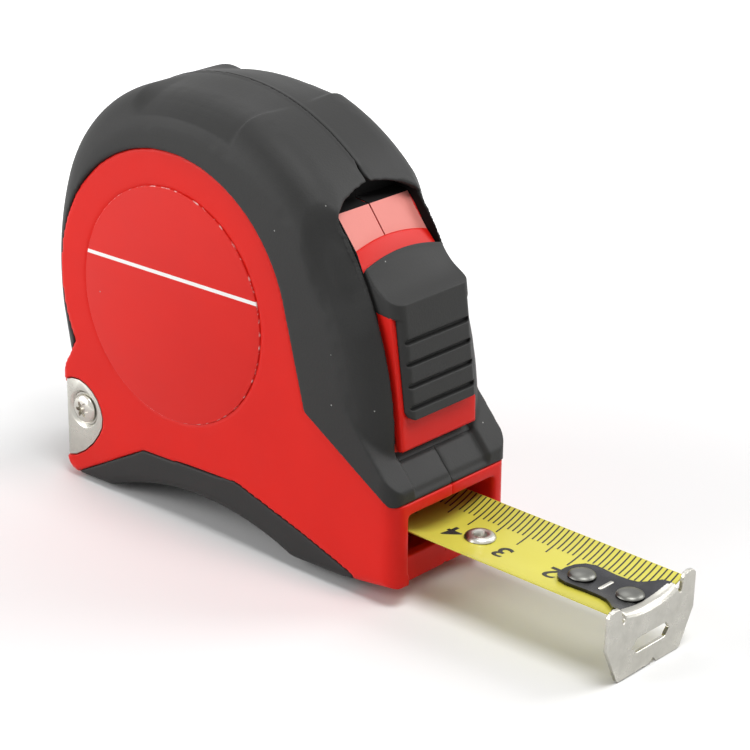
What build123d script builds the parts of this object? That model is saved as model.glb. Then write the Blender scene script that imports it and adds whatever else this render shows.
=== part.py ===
"""Pocket tape measure: a two-half case with soft grips, a sliding lock and a hooked steel blade."""
import os
from math import cos, radians, sin, sqrt, tan

from build123d import *

# Millimetres. The origin is on the base plane, midway across the case and under the spool's axis.
# +X is the way the blade leaves, +Z is up, and the label that the photograph shows faces -Y.

# Case outline, seen from the label side
spool_height = 37.0
front_reach = 48.7
rear_bend = (-29.6, 30.0)
rear_heel = (-27.4, 18.2)
shoulder = (32.5, 59.5)
crown_bulge = (14.66, 71.36)
crown_rear = (-7.46, 72.11)
rear_bulge = (-19.29, 65.81)
back_top = (-26.98, 54.3)
back_bulge = (-29.68, 42.51)
slope_bulge = (41.2, 44.5)
chin_top = (45.3, 21.6)
chin_edge_height = 17.6
nose_underside = 1.3
rear_foot_end = -16.0
front_foot = (26.0, 37.0)
arch_height = 4.4
rear_corner_round = 3.0

# Case walls
case_half_width = 14.0
grip_half_width = 14.5
grip_thickness = 1.4
case_wall = 2.2
side_wall = 2.0
red_edge_round = 1.6
grip_edge_round = 7.0
seam_gap = 0.04
boss_wall = 1.5
spindle_seat = 0.5

# Grip lines on the case's side
grip_disc_radius = 26.3
grip_disc_start = 207.0
grip_disc_end = 16.0
grip_corner = (29.8, 26.8)
grip_front_height = 15.4
grip_front_inset = 1.0
belly_peaks = ((-24.0, 0.6), (-7.6, 9.2), (14.0, 9.9), (28.8, 5.4), (39.6, 1.6))
belly_thickness = 1.5

# Mouth
slot_side_gap = 1.2
slot_top = 13.4
slot_floor = 5.4
lip_recess = 1.4
lip_floor = 2.8

# Labels
label_radius = 20.4
label_thickness = 0.3

# Lock slide
lock_lean = 17.5
lock_travel = 5.5
button_half_width = 9.0
button_side_gap = 0.4
button_floor_gap = 0.35
button_top = (34.3, 53.6)
button_shelf = (37.4, 50.2)
button_brow = (43.3, 44.6)
button_knee = (45.6, 27.8)
button_toe = (45.9, 22.6)
track_top = (30.4, 58.0)
pocket_depth = 3.6
pocket_floor_rise = 0.4
pocket_height = 5.4
pocket_spring_rise = 1.6
track_wall = 2.0
track_set_back = 0.8
track_bend_drop = 1.5
chin_relief = 0.4
pad_half_width = 8.2
pad_foot = (46.9, 27.9)
pad_ridge = (44.5, 46.4)
pad_scoop = (40.8, 48.3)
pad_top = (38.0, 51.2)
groove_count = 4
groove_pitch = 3.5
groove_top = 40.4
groove_height = 1.0
groove_depth = 0.7
brake_half_width = 4.0
brake_arm_height = 25.0
brake_arm_thickness = 3.0
brake_leg_x = 30.0
brake_shoe_length = 5.5
brake_shoe_height = 2.0
brake_gap = 0.6
brake_way_depth = 5.0
detent_thickness = 0.4
detent_heights = (41.0, 50.0)
detent_half_width = 3.0

# Blade
hook_x = 87.4
hook_edge_height = 8.47
blade_fall = 1.86
blade_width = 18.4
blade_sagitta = 2.0
blade_thickness = 0.22
blade_inside = 28.0
lead_start_x = 22.0
lead_end_x = 4.0
lead_gap = 1.3
eyelet_distance = 32.9
eyelet_flange_radius = 2.6
eyelet_radius = 1.5
eyelet_bore = 0.9
eyelet_rim = 0.5

# End hook
tang_gap = 0.12
tang_thickness = 0.5
tang_length = 16.3
tang_tip_radius = 4.2
tang_waist_half = 3.7
tang_root_half = 6.6
tang_root_length = 1.8
rivet_distances = (3.5, 12.7)
rivet_radius = 1.2
rivet_head_radius = 2.2
rivet_head_height = 0.6
rivet_tail = 0.5
hook_float = 0.8
hook_plate = 0.8
hook_half_width = 11.0
hook_ear_lift = 1.3
hook_brow = 0.2
hook_waist_drop = 3.6
hook_tip_half = 7.6
hook_drop = 11.4
hook_slot_length = 8.0
hook_slot_height = 2.4
hook_slot_drop = 6.2
hook_notch = 1.2

# Spool and spring
spindle_radius = 3.0
running_gap = 0.05
drum_radius = 13.0
drum_wall = 1.4
drum_side_gap = 0.2
coil_radius = 22.0
boss_radius = 6.0
spring_strip = 0.5
spring_pitch = 1.1
spring_turns = 5
spring_side_gap = 0.6
spring_clearance = 0.1
cover_thickness = 1.0
part_gap = 0.3

# Belt clip and fasteners
clip_thickness = 0.8
clip_ear_shoulder = (-23.0, 17.6)
clip_ear_nose = (-17.4, 12.4)
clip_ear_heel = (-21.8, 5.4)
clip_ear_bottom = 3.0
clip_screw = (-22.0, 13.8)
clip_screw_head = 2.8
clip_screw_head_height = 1.5
clip_screw_head_round = 0.9
clip_screw_shank = 1.5
clip_screw_length = 3.2
clip_socket = 1.3
clip_socket_depth = 1.0
clip_tongue_front = 20.0
clip_tongue_gap = 2.6
clip_step_length = 6.0
clip_lip = 2.0
clip_lip_length = 5.0
case_screw_places = ((-21.6, 52.4), (22.5, 61.5), (40.0, 16.6))
case_screw_head = 2.2
case_screw_head_height = 1.6
case_screw_recess = 1.4
case_screw_shank = 1.3
case_screw_length = 12.0

# Spare length of a cutting shape, and the reach of one that cuts right through
margin = 1.0
far = 200.0

# Sizes that follow from those above
spool_centre = (0, spool_height)
blade_rise = tan(radians(blade_fall))
mouth_out = hook_x - front_reach
blade_length = mouth_out + blade_inside
blade_radius = blade_width**2 / (8 * blade_sagitta) + blade_sagitta / 2
slot_half_width = blade_width / 2 + slot_side_gap
drum_half_width = blade_width / 2 + drum_side_gap
spring_half_width = drum_half_width - drum_wall - spring_side_gap
core_half_width = case_half_width - grip_thickness
cavity_half_width = core_half_width - side_wall
cavity_inset = grip_thickness + case_wall
track_half_width = button_half_width + button_side_gap
pocket_floor = (track_top[0] - pocket_depth, track_top[1] + pocket_floor_rise)
pocket_top = track_top[1] + pocket_height
pocket_spring = track_top[1] + pocket_spring_rise
blade_plane = Plane(
    origin=(hook_x, 0, hook_edge_height),
    x_dir=(0, -1, 0),
    z_dir=(-cos(radians(blade_fall)), 0, sin(radians(blade_fall))),
)
track_bend_height = button_top[1] - track_bend_drop
track_base_height = chin_top[1] - chin_relief
brake_way_bottom = button_toe[1] + margin
brake_way_top = brake_way_bottom + margin + 2 * lock_travel + brake_arm_thickness


def blade_edge_height(x):
    return hook_edge_height + (hook_x - x) * blade_rise


def track_point(height, depth=0.0):
    """A point of the lock's straight track at a height, moved into the case by a depth."""
    lean_run = (height - chin_top[1]) * tan(radians(lock_lean))
    return (chin_top[0] - track_set_back - lean_run - depth / cos(radians(lock_lean)), height)


# Outline of the case on its centre plane
with BuildSketch(Plane.XZ) as case_face:
    with BuildLine():
        Polyline((front_foot[0], 0), (front_foot[1], 0), (front_reach, nose_underside))
        Polyline((front_reach, nose_underside), (front_reach, chin_edge_height), chin_top)
        ThreePointArc(chin_top, slope_bulge, shoulder)
        ThreePointArc(shoulder, crown_bulge, crown_rear)
        ThreePointArc(crown_rear, rear_bulge, back_top)
        ThreePointArc(back_top, back_bulge, rear_bend)
        Polyline(rear_bend, rear_heel, (rear_heel[0], 0), (rear_foot_end, 0))
        ThreePointArc(
            (rear_foot_end, 0),
            ((rear_foot_end + front_foot[0]) / 2, arch_height),
            (front_foot[0], 0),
        )
    make_face()
    fillet(case_face.vertices().sort_by_distance((rear_heel[0], 0, 0))[0], rear_corner_round)

# The soft grip covers all outside this line: a disc behind, a straight front edge and the nose
with BuildSketch(Plane.XZ) as grip_zone:
    with Locations(spool_centre):
        Rectangle(far, far)
    with BuildLine():
        disc = CenterArc(
            spool_centre, grip_disc_radius, grip_disc_start, grip_disc_end - grip_disc_start
        )
        Polyline(
            disc @ 1,
            grip_corner,
            (front_reach - grip_front_inset, grip_front_height),
            (far, grip_front_height),
            (far, -far),
            (-far, -far),
            (-far, rear_heel[1]),
            rear_heel,
            disc @ 0,
        )
    make_face(mode=Mode.SUBTRACT)

with BuildSketch(Plane.XZ) as belly_zone:
    with BuildLine():
        Polyline(
            (belly_peaks[0][0], -margin), *belly_peaks, (belly_peaks[-1][0], -margin), close=True
        )
    make_face()

# Space in front of the lock's track, and the wall behind it
with BuildSketch(Plane.XZ) as track_zone:
    with BuildLine():
        Polyline(
            track_point(track_base_height),
            track_point(track_bend_height),
            track_top,
            pocket_floor,
            (pocket_floor[0], pocket_top),
            (far, pocket_top),
            (far, track_base_height),
            close=True,
        )
    make_face()

with BuildSketch(Plane.XZ) as track_wall_zone:
    with BuildLine():
        Polyline(
            track_point(slot_top, track_wall),
            track_point(track_bend_height, track_wall),
            (pocket_floor[0] - track_wall, pocket_floor[1] - track_wall),
            (pocket_floor[0] - track_wall, pocket_top + track_wall),
            (far, pocket_top + track_wall),
            (far, slot_top),
            close=True,
        )
    make_face()

# The lock's way through a half's front, which ends under an arch
with BuildPart() as track_cut:
    extrude(track_zone.sketch, amount=track_half_width)
    with BuildSketch(Plane.YZ):
        with BuildLine():
            Polyline(
                (-track_half_width, pocket_spring),
                (-track_half_width, 0),
                (track_half_width, 0),
                (track_half_width, pocket_spring),
            )
            ThreePointArc(
                (track_half_width, pocket_spring), (0, pocket_top), (-track_half_width, pocket_spring)
            )
        make_face()
    extrude(amount=far, mode=Mode.INTERSECT)

# Hollow of the case, less the wall behind the lock
with BuildSketch(Plane.XZ) as cavity_face:
    add(case_face.sketch)
    offset(amount=-cavity_inset, mode=Mode.REPLACE)
    add(track_wall_zone.sketch, mode=Mode.SUBTRACT)

# Whole left halves that the shell and the grips are cut from
with BuildPart() as red_form:
    extrude(case_face.sketch, amount=case_half_width)
    fillet(red_form.faces().sort_by(Axis.Y)[0].edges(), red_edge_round)


def back_edges(form):
    """Edges of a half's side face over the back, the crown and the lock's slope."""
    side_edges = form.faces().sort_by(Axis.Y)[0].edges()
    over_arch = side_edges.filter_by(lambda edge: edge.center().Z > arch_height + margin)
    return over_arch.filter_by(lambda edge: edge.center().X < chin_top[0])


with BuildPart() as grip_form:
    extrude(case_face.sketch, amount=grip_half_width)
    fillet(back_edges(grip_form), grip_edge_round)

with BuildPart() as core_form:
    with BuildSketch(Plane.XZ):
        add(case_face.sketch)
        offset(amount=-grip_thickness, mode=Mode.REPLACE)
    extrude(amount=core_half_width)
    fillet(back_edges(core_form), grip_edge_round - grip_thickness)

with BuildPart() as belly_cut:
    extrude(belly_zone.sketch, amount=case_half_width + margin)
    with BuildSketch(Plane.XZ):
        add(case_face.sketch)
        offset(amount=-belly_thickness, mode=Mode.REPLACE)
    extrude(amount=case_half_width - belly_thickness, mode=Mode.SUBTRACT)

# Left shell: hard red half of the case
with BuildPart() as left_shell:
    add(red_form.part)
    extrude(grip_zone.sketch, amount=far, mode=Mode.SUBTRACT)
    add(core_form.part)
    add(belly_cut.part, mode=Mode.SUBTRACT)
    extrude(cavity_face.sketch, amount=cavity_half_width, mode=Mode.SUBTRACT)
    add(track_cut.part, mode=Mode.SUBTRACT)
    # Mouth: the slot through the nose, and its set-back lower lip
    with BuildSketch(Plane.YZ.offset(front_reach - cavity_inset - margin)):
        with Locations((0, (slot_top + slot_floor) / 2)):
            Rectangle(2 * slot_half_width, slot_top - slot_floor)
    extrude(amount=far, mode=Mode.SUBTRACT)
    with BuildSketch(Plane.YZ.offset(front_reach - lip_recess)):
        with Locations((0, (slot_top + lip_floor) / 2)):
            Rectangle(2 * slot_half_width, slot_top - lip_floor)
    extrude(amount=far, mode=Mode.SUBTRACT)
    # Way for the brake arm through the track wall
    with BuildSketch(Plane.XZ):
        with BuildLine():
            Polyline(
                track_point(brake_way_bottom, -margin),
                track_point(brake_way_bottom, brake_way_depth),
                track_point(brake_way_top, brake_way_depth),
                track_point(brake_way_top, -margin),
                close=True,
            )
        make_face()
    extrude(amount=brake_half_width + button_side_gap, mode=Mode.SUBTRACT)
    # Seat of the label, and the boss that holds the spindle's end
    with BuildSketch(Plane.XZ.offset(case_half_width - label_thickness)):
        with Locations(spool_centre):
            Circle(label_radius)
    extrude(amount=far, mode=Mode.SUBTRACT)
    with BuildSketch(Plane.XZ.offset(drum_half_width + part_gap)):
        with Locations(spool_centre):
            Circle(boss_radius)
    extrude(amount=cavity_half_width + spindle_seat - drum_half_width - part_gap)
    with BuildSketch(Plane.XZ):
        with Locations(spool_centre):
            Circle(spindle_radius)
    extrude(amount=cavity_half_width + spindle_seat, mode=Mode.SUBTRACT)
    # Bosses for the screws that close the case, and their pilot holes
    with BuildSketch(Plane.XZ.offset(seam_gap)):
        with Locations(*case_screw_places):
            Circle(case_screw_shank + boss_wall)
    extrude(amount=cavity_half_width)
    with BuildSketch(Plane.XZ):
        with Locations(*case_screw_places):
            Circle(case_screw_shank)
    extrude(amount=case_screw_length / 2, mode=Mode.SUBTRACT)
    # Hole for the belt clip's screw, and the shallow seat of the lock's detent spring
    with BuildSketch(Plane.XZ.offset(case_half_width - clip_screw_length)):
        with Locations(clip_screw):
            Circle(clip_screw_shank)
    extrude(amount=far, mode=Mode.SUBTRACT)
    with BuildSketch(Plane.XZ):
        with BuildLine():
            Polyline(
                track_point(detent_heights[0], -margin),
                track_point(detent_heights[0], detent_thickness),
                track_point(detent_heights[1], detent_thickness),
                track_point(detent_heights[1], -margin),
                close=True,
            )
        make_face()
    extrude(amount=detent_half_width, mode=Mode.SUBTRACT)
left_shell.part.label = "left_shell"

# Right shell: the mirrored half, with the heads of the closing screws sunk in its side
with BuildPart() as right_shell:
    mirror(left_shell.part, about=Plane.XZ)
    with BuildSketch(Plane.XZ):
        with Locations(*case_screw_places):
            Circle(case_screw_shank)
    extrude(amount=-far, mode=Mode.SUBTRACT)
    with BuildSketch(Plane.XZ.offset(-(core_half_width - case_screw_recess))):
        with Locations(*case_screw_places):
            Circle(case_screw_head)
    extrude(amount=-far, mode=Mode.SUBTRACT)
right_shell.part.label = "right_shell"

# Soft grips moulded over the back, the top and the nose, one on each half
with BuildPart() as left_grip:
    add(grip_form.part)
    with BuildSketch(Plane.XZ):
        with Locations(spool_centre):
            Rectangle(far, far)
        add(grip_zone.sketch, mode=Mode.SUBTRACT)
    extrude(amount=far, mode=Mode.SUBTRACT)
    add(core_form.part, mode=Mode.SUBTRACT)
    add(track_cut.part, mode=Mode.SUBTRACT)
left_grip.part.label = "left_grip"

with BuildPart() as right_grip:
    mirror(left_grip.part, about=Plane.XZ)
    with BuildSketch(Plane.XZ):
        with Locations(*case_screw_places):
            Circle(case_screw_head)
    extrude(amount=-far, mode=Mode.SUBTRACT)
right_grip.part.label = "right_grip"

# Soft strips along the arched underside, one on each half
with BuildPart() as left_belly_grip:
    add(red_form.part)
    add(belly_cut.part, mode=Mode.INTERSECT)
left_belly_grip.part.label = "left_belly_grip"

with BuildPart() as right_belly_grip:
    mirror(left_belly_grip.part, about=Plane.XZ)
right_belly_grip.part.label = "right_belly_grip"

# Printed discs in the round seats of the two sides
with BuildPart() as left_label:
    with BuildSketch(Plane.XZ.offset(case_half_width - label_thickness)):
        with Locations(spool_centre):
            Circle(label_radius)
    extrude(amount=label_thickness)
left_label.part.label = "left_label"

with BuildPart() as right_label:
    mirror(left_label.part, about=Plane.XZ)
right_label.part.label = "right_label"

# Lock slide: the red button that rides on the sloping track
with BuildPart() as lock_button:
    with BuildSketch(Plane.XZ):
        with BuildLine():
            Polyline(
                track_point(button_toe[1], -button_floor_gap),
                button_toe,
                button_knee,
                button_brow,
                button_shelf,
                button_top,
                track_point(track_bend_height, -button_floor_gap),
                close=True,
            )
        make_face()
    extrude(amount=button_half_width, both=True)
lock_button.part.label = "lock_button"

# Thumb pad moulded over the button's front, with a scooped top and grip grooves
with BuildPart() as button_pad:
    with BuildSketch(Plane.XZ):
        with BuildLine():
            Polyline(button_shelf, button_brow, button_knee, pad_foot, pad_ridge)
            ThreePointArc(pad_ridge, pad_scoop, pad_top)
            Line(pad_top, button_shelf)
        make_face()
    extrude(amount=pad_half_width, both=True)
    pad_slope = (pad_ridge[0] - pad_foot[0]) / (pad_ridge[1] - pad_foot[1])
    for row in range(groove_count):
        groove_height_here = groove_top - row * groove_pitch
        groove_face_x = pad_foot[0] + (groove_height_here - pad_foot[1]) * pad_slope
        with BuildSketch(Plane.XZ):
            with Locations((groove_face_x, groove_height_here)):
                Rectangle(2 * groove_depth, groove_height)
        extrude(amount=pad_half_width - groove_height, both=True, mode=Mode.SUBTRACT)
button_pad.part.label = "button_pad"

# Brake: the arm behind the button whose shoe comes down on the blade
shoe_bottom = (
    blade_edge_height(brake_leg_x - brake_shoe_length)
    - blade_sagitta
    + blade_thickness
    + brake_half_width**2 / (2 * blade_radius)
    + brake_gap
)
with BuildPart() as brake_arm:
    with BuildSketch(Plane.XZ):
        with BuildLine():
            Polyline(
                track_point(brake_arm_height, -button_floor_gap),
                track_point(brake_arm_height + brake_arm_thickness, -button_floor_gap),
                (brake_leg_x - brake_arm_thickness, brake_arm_height + brake_arm_thickness),
                (brake_leg_x - brake_arm_thickness, shoe_bottom + brake_shoe_height),
                (brake_leg_x - brake_shoe_length, shoe_bottom + brake_shoe_height),
                (brake_leg_x - brake_shoe_length, shoe_bottom),
                (brake_leg_x, shoe_bottom),
                (brake_leg_x, brake_arm_height),
                close=True,
            )
        make_face()
    extrude(amount=brake_half_width, both=True)
brake_arm.part.label = "brake_arm"

# Detent: a leaf of spring steel in the track, which the button rides over
with BuildPart() as detent_spring:
    with BuildSketch(Plane.XZ):
        with BuildLine():
            Polyline(
                track_point(detent_heights[0], 0),
                track_point(detent_heights[0], detent_thickness),
                track_point(detent_heights[1], detent_thickness),
                track_point(detent_heights[1], 0),
                close=True,
            )
        make_face()
    extrude(amount=detent_half_width, both=True)
detent_spring.part.label = "detent_spring"


def blade_section(plane, half, lift, thickness):
    """Section of a strip that follows the blade's hollow, lifted off the blade's underside."""
    edge = blade_radius - sqrt(blade_radius**2 - half**2) - blade_sagitta + lift
    centre = lift - blade_sagitta
    with BuildSketch(plane) as section:
        with BuildLine():
            ThreePointArc((-half, edge), (0, centre), (half, edge))
            Line((half, edge), (half, edge + thickness))
            ThreePointArc((half, edge + thickness), (0, centre + thickness), (-half, edge + thickness))
            Line((-half, edge + thickness), (-half, edge))
        make_face()
    return section.sketch


# Seen from above along the blade: x runs from the hook back to the case
plan_plane = Plane(
    origin=blade_plane.origin, x_dir=blade_plane.z_dir, z_dir=blade_plane.y_dir
)

# Blade: the straight stretch of hollow steel tape that slides in the mouth
with BuildPart() as blade:
    blade_end = blade_section(blade_plane.offset(part_gap), blade_width / 2, 0, blade_thickness)
    extrude(blade_end, amount=blade_length - part_gap)
    with BuildSketch(plan_plane):
        with Locations(*[(distance, 0) for distance in rivet_distances]):
            Circle(rivet_radius)
        with Locations((eyelet_distance, 0)):
            Circle(eyelet_radius)
    extrude(amount=2 * blade_sagitta, both=True, mode=Mode.SUBTRACT)
blade.part.label = "blade"

# Lead: the stretch of tape inside the case, from the blade's end up to the coil
lead_low = blade_edge_height(lead_start_x) + lead_gap
lead_high = spool_height - sqrt(coil_radius**2 - lead_end_x**2) - part_gap - blade_thickness
lead_run = sqrt((lead_start_x - lead_end_x) ** 2 + (lead_high - lead_low) ** 2)
lead_plane = Plane(
    origin=(lead_start_x, 0, lead_low),
    x_dir=(0, -1, 0),
    z_dir=(lead_end_x - lead_start_x, 0, lead_high - lead_low),
)
with BuildPart() as blade_lead:
    extrude(blade_section(lead_plane, blade_width / 2, 0, blade_thickness), amount=lead_run)
blade_lead.part.label = "blade_lead"

# Coil: the rest of the tape, wound on the drum
with BuildPart() as blade_coil:
    with BuildSketch(Plane.XZ):
        with Locations(spool_centre):
            Circle(coil_radius)
            Circle(drum_radius, mode=Mode.SUBTRACT)
    extrude(amount=blade_width / 2, both=True)
blade_coil.part.label = "blade_coil"

# Eyelet: pressed through the blade as a stop
eyelet_seat = blade_thickness - blade_sagitta + eyelet_flange_radius**2 / (2 * blade_radius)
with BuildPart() as blade_eyelet:
    with BuildSketch(plan_plane.offset(-blade_sagitta - eyelet_rim)):
        with Locations((eyelet_distance, 0)):
            Circle(eyelet_radius)
    extrude(amount=eyelet_seat + blade_sagitta + 2 * eyelet_rim)
    for rim_start in (-blade_sagitta - eyelet_rim, eyelet_seat):
        with BuildSketch(plan_plane.offset(rim_start)):
            with Locations((eyelet_distance, 0)):
                Circle(eyelet_flange_radius)
        extrude(amount=eyelet_rim)
    fillet(blade_eyelet.edges().filter_by(GeomType.CIRCLE).sort_by(Axis.Z)[-1], eyelet_rim / 2)
    with BuildSketch(plan_plane):
        with Locations((eyelet_distance, 0)):
            Circle(eyelet_bore)
    extrude(amount=2 * blade_sagitta, both=True, mode=Mode.SUBTRACT)
blade_eyelet.part.label = "blade_eyelet"

# End hook: the tang lies in the blade's hollow and the plate turns down across its end
tang_lift = blade_thickness + tang_gap
tang_top = tang_lift + tang_thickness - blade_sagitta
with BuildPart() as end_hook:
    extrude(blade_section(blade_plane, tang_root_half, tang_lift, tang_thickness), amount=tang_length)
    with BuildSketch(plan_plane):
        with BuildLine():
            Polyline(
                (0, tang_root_half),
                (tang_root_length, tang_root_half),
                (tang_root_length + tang_root_half - tang_waist_half, tang_waist_half),
                (tang_length - tang_tip_radius, tang_waist_half),
                (tang_length - tang_tip_radius, -tang_waist_half),
                (tang_root_length + tang_root_half - tang_waist_half, -tang_waist_half),
                (tang_root_length, -tang_root_half),
                (0, -tang_root_half),
                close=True,
            )
        make_face()
        with Locations((tang_length - tang_tip_radius, 0)):
            Circle(tang_tip_radius)
    extrude(amount=2 * blade_sagitta, both=True, mode=Mode.INTERSECT)
    with BuildSketch(plan_plane):
        with Locations(*[(distance, 0) for distance in rivet_distances]):
            SlotCenterToCenter(2 * hook_float, 2 * (rivet_radius + tang_gap))
    extrude(amount=2 * blade_sagitta, both=True, mode=Mode.SUBTRACT)
    with BuildSketch(blade_plane):
        with BuildLine():
            ear_inner = hook_half_width - hook_ear_lift
            brow = (0, tang_top + hook_brow)
            ThreePointArc((-ear_inner, hook_ear_lift), brow, (ear_inner, hook_ear_lift))
            Polyline(
                (ear_inner, hook_ear_lift),
                (hook_half_width, hook_ear_lift),
                (hook_half_width, -hook_waist_drop),
                (hook_tip_half, -hook_drop),
                (hook_notch, -hook_drop),
                (0, hook_notch - hook_drop),
                (-hook_notch, -hook_drop),
                (-hook_tip_half, -hook_drop),
                (-hook_half_width, -hook_waist_drop),
                (-hook_half_width, hook_ear_lift),
                (-ear_inner, hook_ear_lift),
            )
        make_face()
        with Locations((0, -hook_slot_drop)):
            SlotOverall(hook_slot_length, hook_slot_height, mode=Mode.SUBTRACT)
    extrude(amount=-hook_plate)
end_hook.part.label = "end_hook"

# Rivets: they hold the tang to the blade and let it float by its own plate's thickness
head_seat = tang_top + tang_gap
with BuildPart() as hook_rivets:
    for distance in rivet_distances:
        with BuildSketch(plan_plane.offset(-blade_sagitta - rivet_tail)):
            with Locations((distance, 0)):
                Circle(rivet_radius)
        extrude(amount=head_seat + blade_sagitta + rivet_tail + rivet_head_height / 2)
        with BuildSketch(plan_plane.offset(head_seat)):
            with Locations((distance, 0)):
                Circle(rivet_head_radius)
        extrude(amount=rivet_head_height)
        with BuildSketch(plan_plane.offset(-blade_sagitta - rivet_tail)):
            with Locations((distance, 0)):
                Circle(rivet_head_radius)
        extrude(amount=rivet_tail)
hook_rivets.part.label = "hook_rivets"

# Spindle: fixed across the case, it carries the spool
with BuildPart() as spindle:
    with BuildSketch(Plane.XZ):
        with Locations(spool_centre):
            Circle(spindle_radius)
    extrude(amount=cavity_half_width + spindle_seat, both=True)
spindle.part.label = "spindle"

# Spool: the drum that the tape is wound on, open on one side for the spring
with BuildPart() as spool:
    with BuildSketch(Plane.XZ):
        with Locations(spool_centre):
            Circle(drum_radius)
            Circle(spindle_radius + running_gap, mode=Mode.SUBTRACT)
    extrude(amount=drum_half_width, both=True)
    with BuildSketch(Plane.XZ.offset(-drum_half_width + drum_wall)):
        with Locations(spool_centre):
            Circle(drum_radius - drum_wall)
            Circle(spindle_radius + drum_wall, mode=Mode.SUBTRACT)
    extrude(amount=far, mode=Mode.SUBTRACT)
spool.part.label = "spool"

# Cover: the disc that keeps the spring in the drum
with BuildPart() as spool_cover:
    with BuildSketch(Plane.XZ.offset(drum_half_width - cover_thickness)):
        with Locations(spool_centre):
            Circle(drum_radius - drum_wall)
            Circle(spindle_radius + drum_wall, mode=Mode.SUBTRACT)
    extrude(amount=cover_thickness)
spool_cover.part.label = "spool_cover"

# Power spring: a spiral of half turns whose centre steps from side to side
spring_outer = drum_radius - drum_wall - spring_strip / 2 - spring_clearance
with BuildPart() as power_spring:
    with BuildSketch(Plane.XZ):
        for half_turn in range(2 * spring_turns):
            radius = spring_outer - half_turn * spring_pitch / 2
            side = 1 if half_turn % 2 == 0 else -1
            centre_x = -(spring_pitch / 4) * (1 - side)
            with BuildLine():
                outer = CenterArc(
                    (centre_x, spool_height), radius + spring_strip / 2, 90 - side * 90, 180
                )
                inner = CenterArc(
                    (centre_x, spool_height), radius - spring_strip / 2, 90 - side * 90, 180
                )
                Line(outer @ 0, inner @ 0)
                Line(outer @ 1, inner @ 1)
            make_face()
    extrude(amount=spring_half_width, both=True)
power_spring.part.label = "power_spring"

# Belt clip: one strip of spring steel round the back, with an ear on one side and a tongue on the other
clip_back = rear_heel[0] - clip_thickness
tongue_face = case_half_width + clip_tongue_gap
with BuildPart() as belt_clip:
    with BuildSketch(Plane.XZ.offset(case_half_width)):
        with BuildLine():
            Polyline(
                clip_ear_heel,
                (clip_back, clip_ear_bottom),
                (clip_back, clip_ear_shoulder[1]),
                clip_ear_shoulder,
            )
            ThreePointArc(clip_ear_shoulder, clip_ear_nose, clip_ear_heel)
        make_face()
    extrude(amount=clip_thickness)
    with BuildSketch(Plane.XY.offset(clip_ear_bottom)):
        with BuildLine():
            step_end = clip_ear_nose[0] + clip_step_length
            Polyline(
                (clip_back, -case_half_width),
                (clip_back, case_half_width + clip_thickness),
                (clip_ear_nose[0], case_half_width + clip_thickness),
                (step_end, tongue_face + clip_thickness),
                (clip_tongue_front, tongue_face + clip_thickness),
                (clip_tongue_front + clip_lip_length, tongue_face + clip_thickness + clip_lip),
                (clip_tongue_front + clip_lip_length, tongue_face + clip_lip),
                (clip_tongue_front, tongue_face),
                (step_end, tongue_face),
                (clip_ear_nose[0], case_half_width),
                (rear_heel[0], case_half_width),
                (rear_heel[0], -case_half_width),
                close=True,
            )
        make_face()
    extrude(amount=clip_ear_shoulder[1] - clip_ear_bottom)
    with BuildSketch(Plane.XZ):
        with Locations(clip_screw):
            Circle(clip_screw_shank)
    extrude(amount=far, both=True, mode=Mode.SUBTRACT)
belt_clip.part.label = "belt_clip"

# Clip screws: round heads with a six-point socket, one on each side
with BuildPart() as clip_screws:
    with BuildSketch(Plane.XZ.offset(case_half_width - clip_screw_length)):
        with Locations(clip_screw):
            Circle(clip_screw_shank)
    extrude(amount=clip_screw_length + clip_thickness)
    with BuildSketch(Plane.XZ.offset(case_half_width + clip_thickness)):
        with Locations(clip_screw):
            Circle(clip_screw_head)
    extrude(amount=clip_screw_head_height)
    head_rim = clip_screws.edges().filter_by(GeomType.CIRCLE).sort_by(Axis.Y)[0]
    fillet(head_rim, clip_screw_head_round)
    socket_floor = case_half_width + clip_thickness + clip_screw_head_height - clip_socket_depth
    with BuildSketch(Plane.XZ.offset(socket_floor)):
        with Locations(clip_screw):
            RegularPolygon(clip_socket, 3)
            RegularPolygon(clip_socket, 3, rotation=60)
    extrude(amount=far, mode=Mode.SUBTRACT)
    mirror(about=Plane.XZ)
clip_screws.part.label = "clip_screws"

# Case screws: driven from the right side into the left shell's bosses
with BuildPart() as case_screws:
    with BuildSketch(Plane.XZ.offset(-(core_half_width - case_screw_recess))):
        with Locations(*case_screw_places):
            Circle(case_screw_shank)
    extrude(amount=core_half_width - case_screw_recess + case_screw_length / 2)
    with BuildSketch(Plane.XZ.offset(-(core_half_width - case_screw_recess))):
        with Locations(*case_screw_places):
            Circle(case_screw_head)
    extrude(amount=-case_screw_head_height)
case_screws.part.label = "case_screws"

os.makedirs("parts", exist_ok=True)
nodes = (
    left_shell, right_shell, left_grip, right_grip, left_belly_grip, right_belly_grip,
    left_label, right_label, lock_button, button_pad, brake_arm, detent_spring,
    blade, blade_lead, blade_coil, blade_eyelet, end_hook, hook_rivets,
    spindle, spool, spool_cover, power_spring, belt_clip, clip_screws, case_screws,
)
for node in nodes:
    export_step(node.part, f"parts/{node.part.label}.step")
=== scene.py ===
"""Pocket tape measure dressed for rendering: moulded case, soft grips, thumb lock, blade and hook."""
import math

import bpy
import numpy as np
from mathutils import Matrix, Vector


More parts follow.
